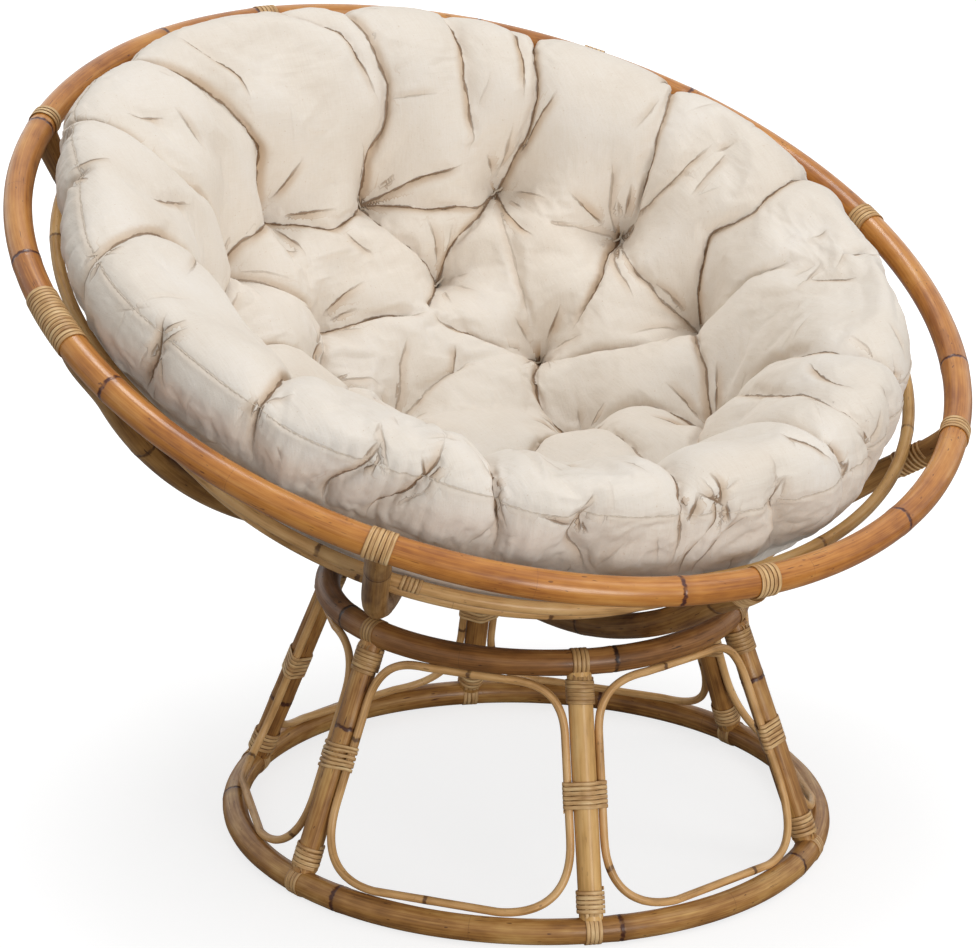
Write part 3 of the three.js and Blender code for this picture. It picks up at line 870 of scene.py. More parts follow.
    def _strap(self, centre: np.ndarray, to_ring: np.ndarray, axes: Spot, offset: float, tail: float) -> Path:
        """Lays one strand down a leg's outer face, round the ring and back along the inner face.

        Args:
            centre: Point where the leg's line meets the ring's.
            to_ring: Unit vector along the leg, towards the ring.
            axes: Unit vectors along the ring, and from the leg towards the stand's outside.
            offset: Place of the strand along the ring.
            tail: How far from the ring's line the strand's ends lie.

        Returns:
            The strand's path.
        """
        side, out = axes
        leg_reach = self.leg_radius + self.strand / 2 - 0.2 * MM
        ring_reach = self.pole_radius + self.strand / 2
        drop = math.sqrt(max(leg_reach**2 - offset**2, 0.0))
        points, normals = [], []
        for share in (1.0, 0.66, 0.4):
            points.append(centre + out * drop - to_ring * tail * share)
            normals.append(out)
        for turn in np.linspace(-0.9, math.pi + 0.9, 17):
            direction = out * math.cos(turn) + to_ring * math.sin(turn)
            points.append(centre + direction * ring_reach)
            normals.append(direction)
        for share in (0.4, 0.66, 1.0):
            points.append(centre - out * drop - to_ring * tail * share)
            normals.append(-out)
        line = np.array(points) + side * offset
        line[:, 2] = np.maximum(line[:, 2], 0.55 * self.strand)
        return Path(line, np.array(normals), start=float(abs(offset) * 90 + centre[0] * 7))

    def _helix(self, angle: float, start: float, turns: int, pitch: float, rng: np.random.Generator) -> Path:
        """Winds a strand round a leg.

        Args:
            angle: Direction of the leg.
            start: Distance up the leg of the first turn.
            turns: Number of turns.
            pitch: Distance from turn to turn.
            rng: Source of the small unevenness.

        Returns:
            The strand's path.
        """
        up, side, out = self.leg_axes(angle)
        radius = self.leg_radius + 1.25 * self.strand
        # How much the turns slope across the leg.
        lean = rng.uniform(-0.06, 0.06)
        steps = turns * 24 + 1
        wobble = rng.uniform(-0.25, 0.25, turns + 3) * MM
        points, normals = [], []
        for k in range(steps):
            turn = 2 * math.pi * k / 24
            whole = turn / (2 * math.pi)
            drift = float(np.interp(whole, np.arange(len(wobble)), wobble))
            direction = side * math.cos(turn) + out * math.sin(turn)
            height = start + whole * pitch + drift + lean * radius * math.sin(turn + 0.6)
            points.append(self.on_cone(angle, height) + direction * (radius + abs(drift)))
            normals.append(direction)
        return Path(np.array(points), np.array(normals), start=angle * 11 + start * 40)

    def _middle_binding(self, i: int) -> None:
        """Builds the wraps round a leg and the two thin poles beside it.

        Args:
            i: Number of the leg, from 0.
        """
        angle = self.leg_angle(i)
        _, side, out = self.leg_axes(angle)
        rng = np.random.default_rng(200 + i)
        to_loop = self.leg_radius + self.loop_radius + self.band_gap
        mean = self.bottom_radius - self.run / 2
        sag = mean * (1 - math.cos(to_loop / mean))
        circles = [(0.0, 0.0, self.leg_radius), (to_loop, -sag, self.loop_radius), (-to_loop, -sag, self.loop_radius)]
        turns = 7
        pitch = self.middle_band / turns
        loose = i == 5
        steps = 40
        points, normals = [], []
        for k in range((turns - 1) * steps + 1):
            turn = 2 * math.pi * k / steps + math.pi
            direction = np.array([math.cos(turn), math.sin(turn)])
            reach = [c[0] * direction[0] + c[1] * direction[1] + c[2] for c in circles]
            far = circles[int(np.argmax(reach))]
            spot = np.array(far[:2]) + direction * (far[2] + 0.7 * self.strand)
            slope = (0.16 + 0.05 * math.sin(1.7 * k / steps) if loose else 0.03) * spot[0]
            height = self.leg_length / 2 - self.middle_band / 2 + pitch / 2 + k / steps * pitch + slope
            height += rng.uniform(-0.05, 0.05) * MM
            points.append(self.on_cone(angle, height) + side * spot[0] + out * spot[1])
            normals.append(side * direction[0] + out * direction[1])
        name = f"leg_{i + 1}_middle_binding"
        path = Path(np.array(points), np.array(normals), start=i * 2.3)
        width, thickness = (3.6 * MM, 1.3 * self.strand) if loose else (4.3 * MM, self.strand)
        self.sweeps.strands(name + "_strands", [path], width, thickness, Part.STAND, name)


# ---- Bowl


@dataclass
class Bowl:
    """Round bowl frame: a thick rim, eight arms on a sphere, thin rings inside them, and bindings."""

    sweeps: SweepTree
    pivot: np.ndarray
    tilt: float = math.radians(21.2)
    seat_sphere: float = 566 * MM
    arm_radius: float = 14 * MM
    rim_radius: float = 522.5 * MM
    rim_drop: float = 221.5 * MM
    rim_pole: float = 15.4 * MM
    arm_count: int = 8
    arm_turn: float = math.radians(-2.5)
    arm_end: float = math.radians(5.6)
    arm_flare: float = math.radians(56)
    ring_pole: float = 7 * MM
    gap: float = 0.3 * MM
    strand: float = 1.2 * MM
    splice_angle: float = math.radians(-96.5)
    splice_turns: int = 16
    splice_pitch: float = 5.2 * MM
    ring_angles: dict[str, float] = field(
        default_factory=lambda: {
            "bowl_ring_upper": math.radians(62),
            "bowl_ring_middle_1": math.radians(48.5),
            "bowl_ring_middle_2": math.radians(43.5),
            "bowl_ring_lower": math.radians(25),
            "bowl_ring_hub": math.radians(8.5),
        }
    )

    def __post_init__(self) -> None:
        """Works out the bowl's placement and the rim's place on its sphere."""
        self.turned = np.array(Matrix.Rotation(self.tilt, 3, "X"))
        self.arm_sphere = self.seat_sphere - self.arm_radius
        self.rim_sphere = math.hypot(self.rim_radius, self.rim_drop)
        self.rim_angle = math.atan2(self.rim_radius, self.rim_drop)

    def world(self, point: np.ndarray) -> np.ndarray:
        """Returns a point of the bowl's own frame in the chair's frame."""
        return point @ self.turned.T + self.pivot

    def turn(self, vector: np.ndarray) -> np.ndarray:
        """Returns a direction of the bowl's own frame in the chair's frame."""
        return vector @ self.turned.T

    def on_sphere(self, radius: float, polar: float, angle: float) -> np.ndarray:
        """Finds a point on a sphere round the bowl's centre.

        Args:
            radius: Radius of the sphere.
            polar: Angle from straight down.
            angle: Direction from the low side towards +X.

        Returns:
            The point, in the bowl's frame.
        """
        point = outward(angle) * radius * math.sin(polar)
        point[2] = -radius * math.cos(polar)
        return point

    def arm_angle(self, arm: int) -> float:
        """Returns the direction of an arm, counted from 1, from the low side towards +X."""
        return self.arm_turn + 2 * math.pi * (arm - 1) / self.arm_count

    def arm_reach(self, polar: float) -> float:
        """Returns how far an arm's line is from the bowl's centre at a polar angle."""
        share = float(smooth(self.arm_flare, self.rim_angle, polar))
        return self.arm_sphere + (self.rim_sphere - self.arm_sphere) * share

    def build(self) -> None:
        """Builds every piece of the bowl."""
        self._rim()
        for i in range(self.arm_count):
            self._arm(i)
        self._rings()
        self._splice()
        self._arm_bindings()
        self._end_windings()

    def rim_point(self, angle: float) -> Spot:
        """Finds a place of the rim.

        Args:
            angle: Direction from the low side towards +X.

        Returns:
            The rim's point and its outward direction, in the bowl's frame.
        """
        away = outward(angle)
        point = away * self.rim_radius
        point[2] = -self.rim_drop
        return point, away

    def _rim(self) -> None:
        """Builds the rim, whose ends meet under the splice binding."""
        places = (-83.9, -47.3, -13.9, 20.6, 56.8, 88.0, 118.5, 148.0, 179.0, 193.9, 223.7, 252.1)
        first = self.splice_angle
        nodes = tuple(self.rim_radius * (math.radians(p) - first) for p in places)
        pole = Pole(nodes, 3.0, swelling=0.03)

        def place(s: float) -> Spot:
            """Returns the rim's point and outward direction at a distance along it."""
            point, away = self.rim_point(first + s / self.rim_radius)
            return self.world(point), self.turn(away)

        path = pole.path(2 * math.pi * self.rim_radius, place)
        self.sweeps.pole("bowl_rim", path, self.rim_pole, 24, "rim", Part.BOWL, "rim_rattan")

    def _arm(self, i: int) -> None:
        """Builds one arm, from beside the bowl's lowest point to inside the rim's pole.

        Args:
            i: Number of the arm, from 0.
        """
        angle = self.arm_angle(i + 1)
        rng = np.random.default_rng(300 + i)
        top = self.rim_angle - 0.5 * self.rim_pole / self.rim_sphere
        length = self.arm_sphere * (top - self.arm_end)
        nodes = tuple(float(v) for v in np.cumsum(rng.uniform(0.18, 0.3, 3)) if v < length - 0.03)
        pole = Pole(nodes, 20.0 + i)

        def place(s: float) -> Spot:
            """Finds a place of the arm.

            Args:
                s: Distance from its lower end.

            Returns:
                The arm's point and its outward direction.
            """
            polar = self.arm_end + (top - self.arm_end) * s / length
            out = self.on_sphere(1.0, polar, angle)
            return self.world(out * self.arm_reach(polar)), self.turn(out)

        path = pole.path(length, place)
        self.sweeps.pole(f"bowl_arm_{i + 1}", path, self.arm_radius, 20, "arm", Part.BOWL, "stand_rattan")

    def _rings(self) -> None:
        """Builds the thin rings inside the arms."""
        for k, (name, polar) in enumerate(self.ring_angles.items()):
            reach = self.arm_reach(polar) - self.arm_radius - self.ring_pole - 2 * self.gap
            radius = reach * math.sin(polar)
            rng = np.random.default_rng(400 + k)
            length = 2 * math.pi * radius
            nodes = tuple(float(v) for v in np.cumsum(rng.uniform(0.2, 0.36, 16)) if v < length - 0.02)
            pole = Pole(nodes, 30.0 + k, swelling=0.05)
            # Each ring's ends meet over an arm, and no two over the same one.
            first = self.arm_turn + 2 * math.pi * (3 * k + 4) / self.arm_count

            def place(s: float) -> Spot:
                """Finds a place of the ring.

                Args:
                    s: Distance along it.

                Returns:
                    The ring's point and its outward direction.
                """
                out = self.on_sphere(1.0, polar, first + s / radius)
                return self.world(out * reach), self.turn(out)

            finish = "thin_pale" if name == "bowl_ring_upper" else "thin"
            self.sweeps.pole(name, pole.path(length, place), self.ring_pole, 14, finish, Part.BOWL, "thin_rattan")

    def wind(
        self,
        place: Callable[[float], Cross],
        turns: int,
        pitch: float,
        reach: float,
        seed: int,
        wobble: float = 0.4 * MM,
    ) -> Path:
        """Winds a strand round a pole.

        Args:
            place: Gives the pole's point and two directions across it, at a distance from the winding's middle.
            turns: Number of turns.
            pitch: Distance from turn to turn along the pole.
            reach: Distance of the strand's middle from the pole's line.
            seed: Seed of the unevenness.
            wobble: Unevenness of the turns along the pole.

        Returns:
            The strand's path, in the chair's frame.
        """
        rng = np.random.default_rng(seed)
        shift = rng.uniform(-wobble, wobble, turns + 3)
        steps = 28
        points, normals = [], []
        for k in range(turns * steps + 1):
            whole = k / steps
            along = (whole - turns / 2) * pitch + float(np.interp(whole, np.arange(len(shift)), shift))
            point, across, up = place(along)
            winding = 2 * math.pi * whole - math.pi / 2
            direction = across * math.cos(winding) + up * math.sin(winding)
            points.append(self.world(point + direction * reach))
            normals.append(self.turn(direction))
        return Path(np.array(points), np.array(normals), start=seed * 1.3)

    def on_rim(self, middle: float) -> Callable[[float], Cross]:
        """Returns the rim's place function for a winding round it.

        Args:
            middle: Angle of the winding's middle.

        Returns:
            The function, which gives the rim's point and its outward and upward directions.
        """
        return lambda along: (*self.rim_point(middle + along / self.rim_radius), np.array([0, 0, 1.0]))

    def _splice(self) -> None:
        """Builds the long binding over the joint in the rim."""
        reach = self.rim_pole + self.gap + self.strand / 2
        place = self.on_rim(self.splice_angle)
        path = self.wind(place, self.splice_turns, self.splice_pitch, reach, 7, 0.25 * MM)
        self.sweeps.strands("rim_splice_strand", [path], 4.7 * MM, 1.3 * self.strand, Part.BOWL, "rim_splice_binding")

    def _arm_bindings(self) -> None:
        """Builds the bindings that tie seven of the arms to the rim."""
        reach = self.rim_pole + self.gap + self.strand / 2
        # Arm, turns of its binding, and their pitch and shift along the rim in mm, which differ from arm to arm.
        for arm, turns, pitch, shift in (
            (1, 5, 5.0, -4),
            (2, 4, 5.4, 0),
            (3, 5, 5.0, 2),
            (4, 5, 5.0, 0),
            (5, 5, 5.0, 0),
            (6, 3, 5.6, -8),
            (8, 6, 4.7, 0),
        ):
            angle = self.arm_angle(arm) + shift * MM / self.rim_radius
            path = self.wind(self.on_rim(angle), turns, pitch * MM, reach, 50 + arm)
            name = f"bowl_arm_{arm}_binding"
            self.sweeps.strands(name + "_strand", [path], 4.4 * MM, 1.2 * self.strand, Part.BOWL, name)

    def _end_windings(self) -> None:
        """Builds the thin windings round the upper ends of three arms and round one thin ring."""
        # Arm, distance below the rim's line, turns, pitch and width of the strand, in mm.
        for arm, below, turns, pitch, width in ((1, 34, 9, 2.7, 2.4), (2, 58, 7, 5.5, 2.6), (3, 27, 4, 4.2, 3.8)):
            angle = self.arm_angle(arm)
            middle = self.rim_angle - below * MM / self.rim_sphere

            def place(along: float) -> Cross:
                """Finds a place of the arm.

                Args:
                    along: Distance along it.

                Returns:
                    The arm's point and two directions across it.
                """
                polar = middle + along / self.rim_sphere
                out = self.on_sphere(1.0, polar, angle)
                return out * self.arm_reach(polar), out, outward(angle + math.pi / 2)

            path = self.wind(place, turns, pitch * MM, self.arm_radius + self.strand / 2, 80 + arm)
            self.sweeps.strands(f"bowl_arm_{arm}_end_strand", [path], width * MM, self.strand, Part.BOWL)
        polar = self.ring_angles["bowl_ring_middle_1"]
        reach = self.arm_reach(polar) - self.arm_radius - self.ring_pole - 2 * self.gap
        turned = math.radians(-43)

        def on_ring(along: float) -> Cross:
            """Finds a place of the ring.

            Args:
                along: Distance along it.

            Returns:
                The ring's point and two directions across it.
            """
            angle = turned + along / (reach * math.sin(polar))
            out = self.on_sphere(1.0, polar, angle)
            return out * reach, out, self.on_sphere(1.0, polar + math.pi / 2, angle)

        path = self.wind(on_ring, 5, 4.4 * MM, self.ring_pole + 0.4 * self.strand, 91)
        self.sweeps.strands("bowl_ring_middle_1_strand", [path], 4.0 * MM, 0.8 * self.strand, Part.BOWL)


# ---- Cushion


@dataclass
class Line:
    """Valley or crease drawn on the pad's plain surface, with what it does at each point."""

    points: np.ndarray
    normals: np.ndarray
    depth: np.ndarray
    width: np.ndarray
    mark: np.ndarray

    def sides(self) -> np.ndarray:
        """Works out the directions across the line.

        Returns:
            A unit vector along the pad's surface at each point.
        """
        tangents = np.gradient(self.points, axis=0)
        across = np.cross(tangents, self.normals)
        return across / np.maximum(np.linalg.norm(across, axis=1), 1e-9)[:, None]


@dataclass
class Cushion:
    """Round canvas pad: a thick rolled edge, a seat drawn in by sewn tufts, and creases between them.

    The pad is drawn plain first, then the tufts and valleys are pressed into it, cloth simulation
    swells it between them, and the fine creases, the seam and the threads are added last.
    """

    bowl: Bowl
    sweeps: SweepTree
    under_sphere: float = 521.0 * MM
    roll_sphere: float = 530.5 * MM
    roll_reach: float = 408.5 * MM
    roll_radius: float = 69 * MM
    roll_rise: float = 2 * MM
    side_shift: float = 20 * MM
    side_spread: float = 6 * MM
    side_rise: float = 9 * MM
    crown: float = 112 * MM
    around: int = 480
    along: int = 230
    voxel: float = 6 * MM
    swell: float = 26 * MM
    frames: int = 15
    seam_reach: float = 570 * MM
    seed: int = 5
    # Direction from the low side towards +X and polar angle of each tuft, in degrees, as the photo shows
    # them; the ones that the front roll hides are spaced evenly.
    outer_tufts: tuple[Pair, ...] = (
        (-8, 40), (24, 39), (55, 38), (87, 42.5), (115, 46.5), (141, 46.5),
        (169.5, 42.5), (196, 43.5), (218, 41), (246, 40), (278, 40), (316, 40),
    )
    inner_tufts: tuple[Pair, ...] = (
        (-15, 22), (65, 19), (113, 24), (151.5, 31), (202, 26), (228, 20), (300, 21), (215, 8),
    )
    # Folds as the photo shows them: depth of the valley in mm, strength of the crease, numbers of the tufts
    # where it starts and ends, and the spots that it runs through, each a direction from the low side
    # towards +X in degrees and a reach from the seat's middle along the surface in mm. First the ones
    # between tufts and out of tufts, then the ones that run over the roll.
    folds: tuple[tuple[float | None, ...], ...] = (
        (15, 1, 6, 5, 158, 290, 145, 303), (8, 1, 6, None, 160, 322, 151, 345), (15, 1, 6, 15, 169, 268, 162, 240),
        (15, 1, 5, 15, 146, 282, 151, 245), (13, 1, 15, None, 159, 175, 162, 152),
        (15, 1, 16, None, 198, 172, 180, 160, 163, 145), (14, 1, None, 14, 163, 147, 141, 133, 121, 137),
        (11, 0.9, 14, 3, 100, 162, 90, 210, 84, 255), (15, 1, 14, 13, 93, 115, 76, 113),
        (13, 0.9, 13, 2, 64, 180, 60, 225), (11, 1, 4, None, 110, 278, 108, 238, 106, 198),
        (12, 0.6, 4, 3, 104, 305, 94, 298), (13, 0.8, 3, 2, 75, 292, 66, 285),
        (5, 0.9, 5, None, 138, 296, 134, 282, 129, 275), (7, 0.35, 5, None, 138, 280, 131, 232, 118, 175),
        (6, 0.6, 4, None, 109, 300, 97, 272), (12, 1, 7, 6, 195, 300, 186, 270, 180, 280),
        (5, 0.8, 7, None, 203, 288, 198, 258), (12, 0.9, 8, 7, 212, 305), (9, 0.9, 17, None, 222, 165, 216, 175),
        (9, 0.3, 17, 16, 214, 165), (9, 0.3, 17, 19, 226, 95), (5, 0.5, 19, None, 190, 95, 178, 120),
        (5, 0.4, 19, None, 150, 70, 135, 95), (13, 0.6, 13, 12, 20, 110), (10, 0.4, 12, 19, 300, 60),
        (3, 0.7, None, None, 150, 105, 150, 62), (12, 0.4, 18, 17, 264, 140), (9, 0.3, 18, 19, 240, 95),
        (13, 0.6, 18, 11, 308, 215), (11, 0.5, 18, 10, 290, 215), (12, 0.6, 17, 9, 240, 215),
        (12, 0.6, 16, 8, 212, 235), (14, 0.6, 12, 0, 350, 225), (12, 0.5, 12, 18, 322, 180),
        (12, 0.5, 13, 1, 35, 205), (15, 0.9, 8, 9, 232, 300), (15, 0.8, 9, 10, 262, 290), (15, 0.8, 10, 11, 297, 292),
        (15, 0.8, 11, 0, 334, 292), (15, 0.8, 0, 1, 8, 288), (15, 0.8, 1, 2, 40, 283),
        (4, 0.5, None, None, 184, 262, 178, 225), (4, 0.3, 4, None, 128, 300, 121, 322),
        (17, 1, 5, None, 140, 350, 139, 385, 139, 430, 141, 500, 142, 575),
        (6, 1, None, None, 140, 352, 138, 385, 135, 445), (10, 1, None, None, 148, 560, 145, 520, 143, 458, 142, 418),
        (16, 0.9, 6, None, 171, 342, 168, 370, 168, 415, 170, 460, 173, 590),
        (15, 1, None, None, 183, 585, 181, 528, 175, 490, 172, 428, 170, 390),
        (13, 1, None, None, 157, 575, 155, 518, 154, 450, 152, 400, 150, 372, 151, 347),
        (17, 1, 7, None, 198, 345, 197, 372, 201, 412, 205, 450, 208, 500, 211, 585),
        (8, 1, None, None, 203, 540, 201, 492, 198, 462, 199, 428),
        (15, 0.9, 4, None, 112, 338, 114, 410, 116, 470, 118, 580), (5, 0.4, 4, None, 117, 338, 121, 392),
        (6, 0.8, 4, None, 112, 350, 108, 385, 105, 470),
        (14, 0.9, 3, None, 91, 335, 94, 378, 89, 430, 90, 480, 92, 575), (5, 0.5, 3, None, 80, 340, 76, 400, 74, 440),
        (16, 1, 2, None, 56, 300, 54, 355, 44, 432, 41, 475, 43, 570),
        (9, 0.8, 2, None, 46, 330, 28, 450, 24, 500, 25, 580), (5, 0.8, None, None, 9, 490, 11, 512, 14, 550),
        (21, 1, 0, None, 352, 380, 350, 480, 349, 548, 349, 625), (12, 0.6, 1, None, 18, 400, 16, 520, 18, 610),
        (25, 1, 11, None, 318, 400, 321, 470, 323, 560, 325, 625),
        (11, 1, None, None, 315, 515, 315, 552, 313, 590, 309, 635),
        (7, 0.9, None, None, 308, 535, 307, 570, 303, 620), (17, 1, 10, None, 287, 380, 290, 470, 292, 550, 293, 630),
        (13, 1, None, None, 275, 545, 278, 590, 276, 660), (9, 0.8, 9, None, 250, 380, 253, 455, 258, 515, 263, 590),
        (5, 0.6, None, None, 235, 320, 252, 400, 266, 478), (11, 0.6, 8, None, 222, 350, 231, 440, 229, 560),
        (4, 0.8, None, None, 226, 515, 221, 475), (3, 0.7, None, None, 230, 495, 230, 465),
        (4, 0.7, None, None, 247, 478, 236, 408), (5, 0.9, None, None, 244, 322, 237, 280),
        (5, 0.7, None, None, 70, 485, 72, 545), (4, 0.6, None, None, 68, 435, 64, 490),
        (5, 0.8, None, None, 38, 438, 31, 475, 29, 510), (6, 0.8, None, None, 33, 520, 34, 590),
        (12, 1, None, None, 5, 540, 3, 570, 8, 655), (7, 0.9, None, None, 352, 520, 354, 580, 351, 620),
        (8, 0.8, None, None, 358, 570, 353, 650), (7, 0.7, None, None, 336, 545, 334, 600, 338, 650),
        (7, 0.7, None, None, 245, 540, 247, 600), (7, 0.7, None, None, 232, 560, 235, 620),
        (3, 0.5, None, None, 101, 400, 102, 470),
    )

    def build(self) -> None:
        """Builds the pad, its seam and its tuft threads."""
        self.rng = np.random.default_rng(self.seed)
        self.plain = self._plain_grid()
        self.plain_normals = grid_normals(self.plain)
        self.tufts = [self._unflat(self._tuft(k)) for k in range(len(self.outer_tufts) + len(self.inner_tufts))]
        valleys = self._valleys()
        pad = self._remesh(self._press(valleys))
        self._swell(pad)
        pad = self._subdivide(pad)
        log.info("pad: %d points after subdivision", len(pad.data.vertices))
        self._creases(pad, self._fine_lines(valleys))
        self._seat_in_frame(pad)
        pad.data.materials.clear()
        pad.data.materials.append(self.sweeps.finishes["canvas"])
        pad.data.shade_smooth()
        pad.name = "cushion_cover"
        ends = [pick(vectors(pad), axis=0).round(4) for pick in (np.min, np.max)]
        finish_piece(pad, Part.CUSHION, "canvas", "cushion")
        self._threads(pad)

    def _threads(self, pad: bpy.types.Object) -> None:
        """Adds the seam's stitches and the tufts' ties, laid on the finished cover.

        Args:
            pad: The finished cover, in the chair's frame.
        """
        pad.data.calc_loop_triangles()
        corners = np.empty(len(pad.data.loop_triangles) * 3, np.int32)
        pad.data.loop_triangles.foreach_get("vertices", corners)
        corners = corners.reshape(-1, 3)
        flat, points = vectors(pad, "plain_place"), vectors(pad)
        plain = BVHTree.FromPolygons(flat.tolist(), corners.tolist())

        def onto(point: np.ndarray, lift: float) -> Spot:
            """Finds where a point of the plain pad has gone on the cover.

            Args:
                point: Point of the plain pad.
                lift: Height above the cover.

            Returns:
                The place above the cover, and the cover's normal there.
            """
            near, _, index, _ = plain.find_nearest(Vector(point))
            start, end = [Vector(flat[c]) for c in corners[index]], [Vector(points[c]) for c in corners[index]]
            normal = (end[1] - end[0]).cross(end[2] - end[0]).normalized()
            return np.array(barycentric_transform(near, *start, *end) + normal * lift), np.array(normal)

        seam = self._seam_line()
        stitches = []
        pitch, length = 3, 2
        for k in range(0, len(seam.points) - length, pitch):
            ends = [onto(seam.points[k + e], lift * MM) for e, lift in ((0, 0.1), (1, 0.6), (2, 0.1))]
            places, normals = (np.array(values) for values in zip(*ends))
            if np.linalg.norm(places[0] - places[2]) < 8 * MM:
                stitches.append(Path(places, normals, start=0.01 * k))
        sizes = (0.9 * MM, 0.8 * MM, 6, 1.0)
        self.sweeps.sweep("cushion_seam_stitches", stitches, sizes, "thread", Part.CUSHION, "canvas")
        ties = []
        for k, tuft in enumerate(self.tufts):
            point, normal = self._at(*tuft)
            along = np.cross(normal, outward(self.rng.uniform(0, math.pi)))
            along /= np.linalg.norm(along)
            spots = [onto(point + along * d * MM, (1.0 + 0.15 * (7 - abs(d))) * MM) for d in (-7, -4, 0, 4, 7)]
            ties.append(Path(*(np.array(values) for values in zip(*spots)), start=0.1 * k))
        sizes = (2.6 * MM, 1.8 * MM, 8, 1.0)
        self.sweeps.sweep("cushion_tuft_ties", ties, sizes, "thread", Part.CUSHION, "canvas")

    def _profile(self, angle: float) -> np.ndarray:
        """Returns the pad's section at an angle, from the underside's middle round to the seat's.

        Args:
            angle: Direction from the low side towards +X.

        Returns:
            Distances from the bowl's axis and heights above its centre, evenly spaced.
        """
        under = np.radians([0, 8, 16, 24, 32, 40, 46, 50, 54, 57])
        points = [(self.under_sphere * math.sin(t), -self.under_sphere * math.cos(t)) for t in under]
        side = math.sin(angle)
        reach = self.roll_reach - self.side_shift * side + self.side_spread * side**2
        height = self.roll_rise - self.bowl.rim_drop + self.side_rise * max(0.0, -side)
        for turn in np.radians(np.arange(-12, 165, 12)):
            points.append((reach + self.roll_radius * math.cos(turn), height + self.roll_radius * math.sin(turn)))
        inside = self.under_sphere - self.crown
        for t in np.radians([51, 46, 40, 32, 24, 16, 8, 0]):
            points.append((inside * math.sin(t), -inside * math.cos(t)))
        line = np.array(points)
        size = np.linalg.norm(line, axis=1)
        polar = np.arctan2(line[:, 0], -line[:, 1])
        bound = self.roll_sphere + 20 * MM * smooth(math.radians(61.5), math.radians(67), polar)
        line *= np.minimum(1, bound / size)[:, None]
        line = even(line, 420)
        for _ in range(60):
            line[1:-1] = (line[:-2] + 2 * line[1:-1] + line[2:]) / 4
        return even(line, self.along)

    def _plain_grid(self) -> np.ndarray:
        """Turns the pad's section round the bowl's axis.

        Returns:
            The plain pad's points by angle and place along the section, in the bowl's frame.
        """
        angles = np.linspace(0, 2 * math.pi, self.around, endpoint=False)
        grid = np.empty((self.around, self.along, 3))
        for i, angle in enumerate(angles):
            section = self._profile(angle)
            grid[i] = outward(angle) * section[:, :1]
            grid[i, :, 2] = section[:, 1]
        return grid

    def _at(self, angle: float, place: float) -> Spot:
        """Finds a place of the plain surface.

        Args:
            angle: Direction from the low side towards +X.
            place: Place along the section, in steps of the grid.

        Returns:
            The point and the normal.
        """
        a = angle / (2 * math.pi) * self.around
        i, fa = int(math.floor(a)), a - math.floor(a)
        j = int(np.clip(place, 0, self.along - 1.001))
        fb = place - j
        i0, i1 = i % self.around, (i + 1) % self.around
        spots = []
        for grid in (self.plain, self.plain_normals):
            low = grid[i0, j] * (1 - fb) + grid[i0, j + 1] * fb
            high = grid[i1, j] * (1 - fb) + grid[i1, j + 1] * fb
            spots.append(low * (1 - fa) + high * fa)
        return spots[0], spots[1] / np.linalg.norm(spots[1])

    def _line(self, spots: list[tuple[float, float]], depth: np.ndarray, width: np.ndarray, mark: np.ndarray) -> Line:
        """Draws a line on the plain surface.

        Args:
            spots: Angle and place along the section of each point.
            depth: Depth at each point.
            width: Width at each point.
            mark: Strength of the crease's painted shade at each point.

        Returns:
            The line.
        """
        placed = [self._at(a, u) for a, u in spots]
        return Line(np.array([p for p, _ in placed]), np.array([n for _, n in placed]), depth, width, mark)

    def _flat(self, angle: float, reach: float) -> np.ndarray:
        """Returns a point of the flat map on which distances from the middle are reaches."""
        return np.array([math.sin(angle), -math.cos(angle)]) * reach

    def _unflat(self, point: np.ndarray) -> Pair:
        """Finds a point of the flat map on the plain surface.

        Args:
            point: Point of the flat map.

        Returns:
            Its angle and its place along the section.
        """
        angle = math.atan2(point[0], -point[1])
        row = self.plain[int(angle / (2 * math.pi) * self.around) % self.around]
        return angle, self.along - 1 - float(np.hypot(*point)) / float(np.linalg.norm(row[1] - row[0]))

    def _tuft(self, number: int) -> np.ndarray:
        """Returns a tuft's point of the flat map."""
        angle, polar = (math.radians(v) for v in (*self.outer_tufts, *self.inner_tufts)[number])
        return self._flat(angle, polar * (self.under_sphere - self.crown))

    def _valleys(self) -> list[Line]:
        """Draws the folds on the plain surface.

        Returns:
            A line for each fold, which fades out at an end that has no tuft.
        """
        lines = []
        self.crossings: list[tuple[float, float]] = []
        for valley, mark, start, end, *spots in self.folds:
            # A fold that gets as far as the seam runs on under the roll.
            if spots[-1] >= 555:
                spots += [spots[-2], 660]
            stops = [self._flat(math.radians(a), r * MM) for a, r in zip(spots[::2], spots[1::2])]
            if start is not None:
                stops.insert(0, self._tuft(start))
            if end is not None:
                stops.append(self._tuft(end))
            length = lengths_along(np.array(stops))[-1]
            count = max(8, int(length / (1.5 * MM)))
            share = np.linspace(0, length, count) / length
            flat = even(np.array(stops), count)
            # The corners at the stops are rounded, and the canvas strays a little to either side.
            for _ in range(4 * min(count // 8, 12)):
                flat[1:-1] = (flat[:-2] + 2 * flat[1:-1] + flat[2:]) / 4
            bends = np.arange(0, length + 0.05, 0.024)
            stray = np.interp(share * length, bends, self.rng.uniform(-1, 1, len(bends)))
            across = np.gradient(flat, axis=0)[:, ::-1] * (1, -1)
            across /= np.linalg.norm(across, axis=1)[:, None]
            flat += across * (stray * 2.2 * MM * np.sin(math.pi * share))[:, None]
            fade = 1.0
            for tuft, away in ((start, share), (end, 1 - share)):
                fade = fade * (smooth(0, 0.3, away) if tuft is None else 1.75 - 0.75 * smooth(0, 0.22, away))
            reach = np.linalg.norm(flat, axis=1)
            if reach[0] < self.seam_reach < reach[-1]:
                self.crossings.append(self._unflat(flat[int(np.abs(reach - self.seam_reach).argmin())]))
            width = np.full(count, (9 + 0.35 * valley) * MM)
            depth = 1.3 * valley * MM * fade
            lines.append(self._line([self._unflat(p) for p in flat], depth, width, mark * np.minimum(1, fade)))
        return lines

